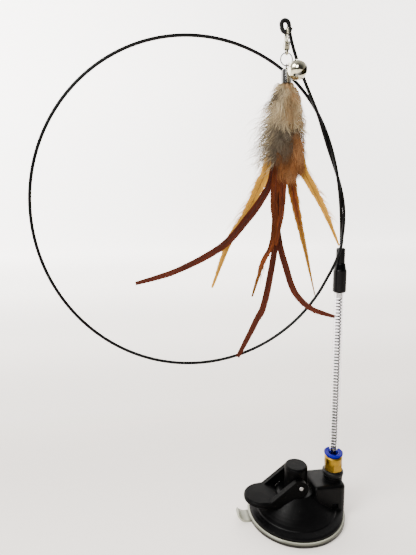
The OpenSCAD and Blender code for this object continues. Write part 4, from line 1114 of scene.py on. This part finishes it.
class TEASER_OT_base(bpy.types.Operator):
    """Finish the gel disc, the housing, the stem, the lever and its pin"""
    bl_idname = "teaser.base"
    bl_label = "Suction base"

    def execute(self, context):
        s = context.scene.teaser_base
        shell = moulded("base_plastic", s.plastic, s.plastic_roughness * 0.85, edge=0.0005,
                        grain=2600, depth=0.00003, Specular_IOR_Level=0.06)
        lever = moulded("lever_plastic", tinted(s.plastic, 0.9), s.plastic_roughness * 0.9,
                        edge=0.0004, grain=2600, depth=0.00003, Specular_IOR_Level=0.025)
        coat("housing", shell)
        coat("suction_stem", lever)
        coat("lock_lever", lever)
        coat("lever_pin", plated("pin_steel", PIN_STEEL, 0.3, edge=0.0002))
        gel = Finish("gel_soft", s.gel, 0.2, Transmission_Weight=0.06, IOR=1.42,
                     Specular_IOR_Level=0.15)
        gel.soft_edges(0.0004)
        place = gel.add("ShaderNodeSeparateXYZ", {"Vector": gel.coords})
        # Painted shade over the lower part of the gel's rim, and a painted highlight along its top
        # edge
        body = gel.ramp(gel.span(place.outputs[2], 0, 1, 0, GEL_TALL), [
            (0.0, tinted(s.gel, 0.04)), (0.6, tinted(s.gel, 0.08)), (0.74, tinted(s.gel, 0.6)),
            (0.92, tinted(s.gel, 0.8)), (1.0, tinted(s.gel, 2.5))])
        clouds = gel.ramp(gel.grain(120, 3), [(0.3, (0.85, 0.85, 0.85)), (0.7, (1, 1, 1))])
        # Painted light: the lifted tab is made paler, as if lit through
        tab_painted_light = gel.span(place.outputs[0], 1, 0, *GEL_TAB)
        gel.colour(gel.blend(1.0, gel.blend(tab_painted_light, body, tinted(s.gel, 1.9)), clouds, "MULTIPLY"))
        gel.roughness(gel.span(gel.grain(500, 4), 0.08, 0.18, 0.3, 0.7))
        gel.bump(gel.grain(160, 2), 0.12, 0.0001)
        coat("gel_pad", gel)
        coat("gel_membrane", gel)
        return {"FINISHED"}


class TEASER_OT_fitting(bpy.types.Operator):
    """Finish the seat ring, the brass fitting, what is inside it and the collar"""
    bl_idname = "teaser.fitting"
    bl_label = "Tube fitting"

    def execute(self, context):
        s = context.scene.teaser_fitting
        coat("seat_ring", moulded("ring_rubber", RING_RUBBER, 0.5, edge=0.0,
                                  Specular_IOR_Level=0.12))
        coat("fitting_body", turned("turned_brass", s.brass, 0.34))
        coat("tube_seal", moulded("seal_rubber", SEAL_RUBBER, 0.6, edge=0.0))
        coat("grab_ring", plated("grab_steel", GRAB_STEEL, 0.3))
        coat("collet_sleeve", turned("sleeve_brass", tinted(s.brass, 0.9), 0.3, edge=0.0001))
        coat("release_collar", moulded("collar_plastic", s.collar, 0.3, grain=1400, depth=0.00002,
                                       edge=0.0002, spread=0.15, Specular_IOR_Level=0.04))
        return {"FINISHED"}


class TEASER_OT_tube(bpy.types.Operator):
    """Finish the clear tube and the boot, and wind the fine spring in the tube"""
    bl_idname = "teaser.tube"
    bl_label = "Tube and spring"

    def execute(self, context):
        s = context.scene.teaser_tube
        clear = Finish("clear_tube", (0.95, 0.95, 0.98), 0.05, Transmission_Weight=1.0, IOR=1.4)
        clear.colour(clear.ramp(clear.grain(60, 3), [
            (0.3, (0.93, 0.93, 0.97)), (0.7, (0.97, 0.97, 1))]))
        clear.roughness(clear.span(clear.grain(400, 4), 0.02, 0.12, 0.35, 0.75))
        clear.bump(clear.grain(1, 2, clear.stretch((260, 260, 30))), 0.15, 0.00005)
        coat("clear_tube", clear)
        coat("wire_plug", plated("plug_zinc", PLUG_ZINC, 0.35))
        coat("boot", moulded("boot_gloss", s.boot, 0.16, grain=500, depth=0.00002, edge=0.0004,
                             Specular_IOR_Level=0.1))
        low, top = SPRING_LOW + s.spring_wire / 2, SPRING_TOP - s.spring_wire / 2
        count = s.curls * s.curl_steps
        route = []
        for k in range(count + 1):
            a = 2 * math.pi * k / s.curl_steps
            route.append(Vector((WAND_X + s.spring_r * math.cos(a), s.spring_r * math.sin(a),
                                 low + (top - low) * k / count)))
        sheaf = Sheaf()
        sheaf.tube(route, [s.spring_wire / 2] * len(route), FINE_SIDES)
        steel = plated("spring_steel", SPRING_STEEL, 0.4, wave=1500, depth=0.00002,
                       Specular_Tint=(0.15, 0.15, 0.16, 1))
        piece = sheaf.piece("fine_spring", steel.material)
        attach(piece, "wand")
        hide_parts("tube_spring")
        return {"FINISHED"}


class TEASER_OT_rod(bpy.types.Operator):
    """Sweep the smooth spring rod and the ribbed sleeve round its end eye"""
    bl_idname = "teaser.rod"
    bl_label = "Spring rod"

    def execute(self, context):
        s = context.scene.teaser_rod
        route = spline(rod_route(), 4)
        run = along(route)
        held = BOOT_TOP - PLUG_Z
        free = run[-1] - 1.02 * along(eye_points())[-1]
        # The coat fades out into the boot and into the sleeve
        radii = [(s.rod_d + (s.coat_d - s.rod_d) * smooth((at - held) / (2 * MM))
                  * smooth((free - at) / (3 * MM))) / 2 for at in run]
        sheaf = Sheaf()
        sheaf.tube(route, radii, ROD_SIDES)
        finish = moulded("rod_coat", s.colour, 0.35, grain=1200, depth=0.00003, edge=0.0,
                         Specular_IOR_Level=0.1)
        rod = sheaf.piece("smooth_rod", finish.material)
        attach(rod, "wand")
        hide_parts("spring_rod")
        fine = spline(eye_points(), 3 * RIB_STEPS)
        lengths = along(fine)
        count = s.ribs * RIB_STEPS
        points, radii = [], []
        for k in range(count + 1):
            points.append(at_length(fine, lengths, lengths[-1] * k / count)[0])
            swell = abs(math.sin(math.pi * k / RIB_STEPS))
            radii.append(s.sleeve_d / 2 * (0.84 + 0.16 * swell ** 0.6))
        sheaf = Sheaf()
        sheaf.tube(points, radii, SLEEVE_SIDES)
        finish = moulded("sleeve_rubber", SLEEVE_RUBBER, 0.42, grain=2000, edge=0.0,
                         Specular_IOR_Level=0.12)
        sleeve = sheaf.piece("ribbed_sleeve", finish.material)
        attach(sleeve, "wand")
        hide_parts("eye_sleeve")
        return {"FINISHED"}


class TEASER_OT_metal(bpy.types.Operator):
    """Finish the clasp, its gate, the ring, the bell and the lure's cap"""
    bl_idname = "teaser.metal"
    bl_label = "Clasp, ring, bell and cap"

    def execute(self, context):
        s = context.scene.teaser_metal
        body = plated("clasp_nickel", tinted(s.nickel, 0.8), 0.2, edge=0.0001)
        for node in ("clasp_body", "clasp_gate"):
            coat(node, body)
        coat("clasp_pin", plated("clasp_pin_steel", CLASP_PIN_STEEL, 0.25))
        coat("clasp_spring", plated("clasp_spring_steel", CLASP_SPRING_STEEL, 0.3))
        coat("jump_ring", plated("ring_nickel", tinted(s.nickel, 0.02), 0.2, wave=500,
                                 Specular_Tint=(0.03, 0.03, 0.03, 1)))
        bell = plated("bell_nickel", tinted(s.nickel, 1.4), 0.1, wave=160, depth=0.00006,
                      edge=0.00012)
        coat("bell_shell", paint_bell_shade(bell, "bell_shell", s.bell_shade_depth))
        coat("bell_pellet", plated("pellet_steel", PELLET_STEEL, 0.35))
        coat("ferrule", plated("cap_chrome", tinted(s.chrome, 0.5), 0.1, wave=120, depth=0.000004,
                               edge=0.00015))
        coat("quill_plug", moulded("plug_glue", PLUG_GLUE, 0.4, grain=900, edge=0.0))
        return {"FINISHED"}


class TEASER_OT_plumes(bpy.types.Operator):
    """Grow the three downy plumes under the cap"""
    bl_idname = "teaser.plumes"
    bl_label = "Downy plumes"

    def execute(self, context):
        s = context.scene.teaser_plumes
        plumes = (("plume_left", "down_grey"), ("plume_middle", "down_beige"),
                  ("plume_right", "down_tan"))
        for seed, (node, slot) in enumerate(plumes):
            piece = build_plume(node, down_finish(slot + "_soft", s), s, DOWN_SEED + seed)
        return {"FINISHED"}


class TEASER_OT_feathers(bpy.types.Operator):
    """Grow the eight long feathers with their quills and barbs"""
    bl_idname = "teaser.feathers"
    bl_label = "Long feathers"

    def execute(self, context):
        s = context.scene.teaser_feathers
        gold, rust, red = tuple(s.yellow), tuple(s.rust), tuple(s.red)
        brown = tuple((a + b) / 2 for a, b in zip(tinted(rust, 0.6), red))
        pale = (min(1, gold[0] * 1.45), min(1, gold[1] * 1.6), gold[2] * 2)
        golden = feather_finish("golden_vane", [
            (0.0, tinted(gold, 0.9)), (0.5, gold), (1.0, tinted(gold, 0.8))],
            tinted(gold, 0.7), pale, tinted(gold, 0.45))
        rusty = feather_finish("rust_vane", [
            (0.0, brown), (0.5, tinted(rust, 0.45)), (0.7, tinted(rust, 1.6)),
            (1.0, tinted(gold, 0.5))],
            tinted(rust, 2.1), tinted(rust, 1.0), red)
        deep = feather_finish("deep_vane", [
            (0.0, brown), (0.5, red), (1.0, brown)],
            tinted(rust, 2), tinted(rust, 1.5), tinted(red, 0.5))
        dark = feather_finish("red_vane", [
            (0.0, tinted(red, 0.8)), (0.5, red), (0.85, tinted(red, 1.4)), (1.0, tinted(red, 1.1))],
            tinted(red, 1.5), tinted(red, 1.6), tinted(red, 0.45))
        amber = feather_finish("orange_vane", [
            (0.0, tinted(rust, 1.6)), (0.35, tinted(rust, 1.9)), (0.6, tinted(gold, 0.6)),
            (0.8, tinted(gold, 0.6)), (1.0, brown)],
            tinted(brown, 2), tinted(gold, 0.8), brown)
        plan = {
            "feather_yellow_left": (golden, "feather_yellow", dict(
                left=3.6 * MM, right=2.6 * MM, root=0.8, rise=0.2, taper=0.75, ragged=0.3,
                loose=[(1, 0.05, 0.5, 9 * MM, 120)])),
            "feather_brown_left": (dark, "feather_brown", dict(
                left=2.3 * MM, right=2.5 * MM, root=0.6, rise=0.3, taper=0.3, ragged=0.05)),
            "feather_rust_centre": (rusty, "feather_rust", dict(
                left=2.6 * MM, right=2.0 * MM, root=0.85, rise=0.2, taper=0.6, ragged=0.3,
                loose=[(-1, 0.45, 0.85, 5 * MM, 40)])),
            "feather_rust_short": (deep, "feather_rust", dict(
                left=2.4 * MM, right=2.4 * MM, root=0.9, rise=0.2, taper=0.6, ragged=0.15)),
            "feather_red_long": (dark, "feather_red", dict(
                left=2.9 * MM, right=2.7 * MM, root=0.45, rise=0.8, taper=0.3, ragged=0.05)),
            "feather_red_right": (dark, "feather_red", dict(
                left=2.5 * MM, right=2.9 * MM, root=0.5, rise=0.7, taper=0.36, ragged=0.05)),
            "feather_thin_orange": (amber, "feather_orange", dict(
                left=3.6 * MM, right=3.2 * MM, root=1.0, rise=0.1, taper=1.3, ragged=0.25,
                loose=[(-1, 0.0, 0.3, 6 * MM, 60), (1, 0.0, 0.3, 5 * MM, 50)])),
            "feather_yellow_right": (golden, "feather_yellow", dict(
                left=2.6 * MM, right=3.0 * MM, root=0.9, rise=0.1, taper=0.85, ragged=0.25,
                loose=[(-1, 0.05, 0.7, 7 * MM, 100), (1, 0.0, 0.3, 5 * MM, 40)])),
        }
        for seed, (node, (materials, slot, shape)) in enumerate(plan.items()):
            piece = build_feather(node, shape, materials, FEATHER_SEED + seed, s.barb_step)
        return {"FINISHED"}


class TEASER_OT_stage(bpy.types.Operator):
    """Lay the pale floor, and set the soft lights and the camera"""
    bl_idname = "teaser.stage"
    bl_label = "Floor, lights and camera"

    def execute(self, context):
        s = context.scene.teaser_stage
        lay_paper(context.scene, s)
        fill_room(context.scene, s)
        for lamp in LAMPS:
            hang_lamp(context.scene, *lamp)
        set_camera(context.scene, s)
        return {"FINISHED"}


class TEASER_PT_panel(bpy.types.Panel):
    """Lists the settings and the steps in the sidebar."""
    bl_label = "Cat teaser wand"
    bl_idname = "TEASER_PT_panel"
    bl_space_type = "VIEW_3D"
    bl_region_type = "UI"
    bl_category = "Teaser"

    def draw(self, context):
        for group, operator in STEPS:
            box = self.layout.box()
            if group:
                settings = getattr(context.scene, group)
                for title in settings.bl_rna.properties.keys():
                    if title not in ("rna_type", "name"):
                        box.prop(settings, title)
            box.operator(operator.bl_idname)


STEPS = (
    ("teaser_base", TEASER_OT_base),
    ("teaser_fitting", TEASER_OT_fitting),
    ("teaser_tube", TEASER_OT_tube),
    ("teaser_rod", TEASER_OT_rod),
    ("teaser_metal", TEASER_OT_metal),
    ("teaser_plumes", TEASER_OT_plumes),
    ("teaser_feathers", TEASER_OT_feathers),
    ("teaser_stage", TEASER_OT_stage),
)
GROUPS = {
    "teaser_base": BaseSettings,
    "teaser_fitting": FittingSettings,
    "teaser_tube": TubeSettings,
    "teaser_rod": RodSettings,
    "teaser_metal": MetalSettings,
    "teaser_plumes": PlumeSettings,
    "teaser_feathers": FeatherSettings,
    "teaser_stage": StageSettings,
}


def register():
    """Adds the settings, the operators and the panel."""
    for name, group in GROUPS.items():
        bpy.utils.register_class(group)
        setattr(bpy.types.Scene, name, PointerProperty(type=group))
    for _, operator in STEPS:
        bpy.utils.register_class(operator)
    bpy.utils.register_class(TEASER_PT_panel)


def unregister():
    """Takes them away again."""
    bpy.utils.unregister_class(TEASER_PT_panel)
    for _, operator in reversed(STEPS):
        bpy.utils.unregister_class(operator)
    for name, group in GROUPS.items():
        delattr(bpy.types.Scene, name)
        bpy.utils.unregister_class(group)


def main():
    """Runs each step."""
    register()
    bpy.ops.teaser.base()
    bpy.ops.teaser.fitting()
    bpy.ops.teaser.tube()
    bpy.ops.teaser.rod()
    bpy.ops.teaser.metal()
    bpy.ops.teaser.plumes()
    bpy.ops.teaser.feathers()
    bpy.ops.teaser.stage()


if __name__ == "__main__":
    main()
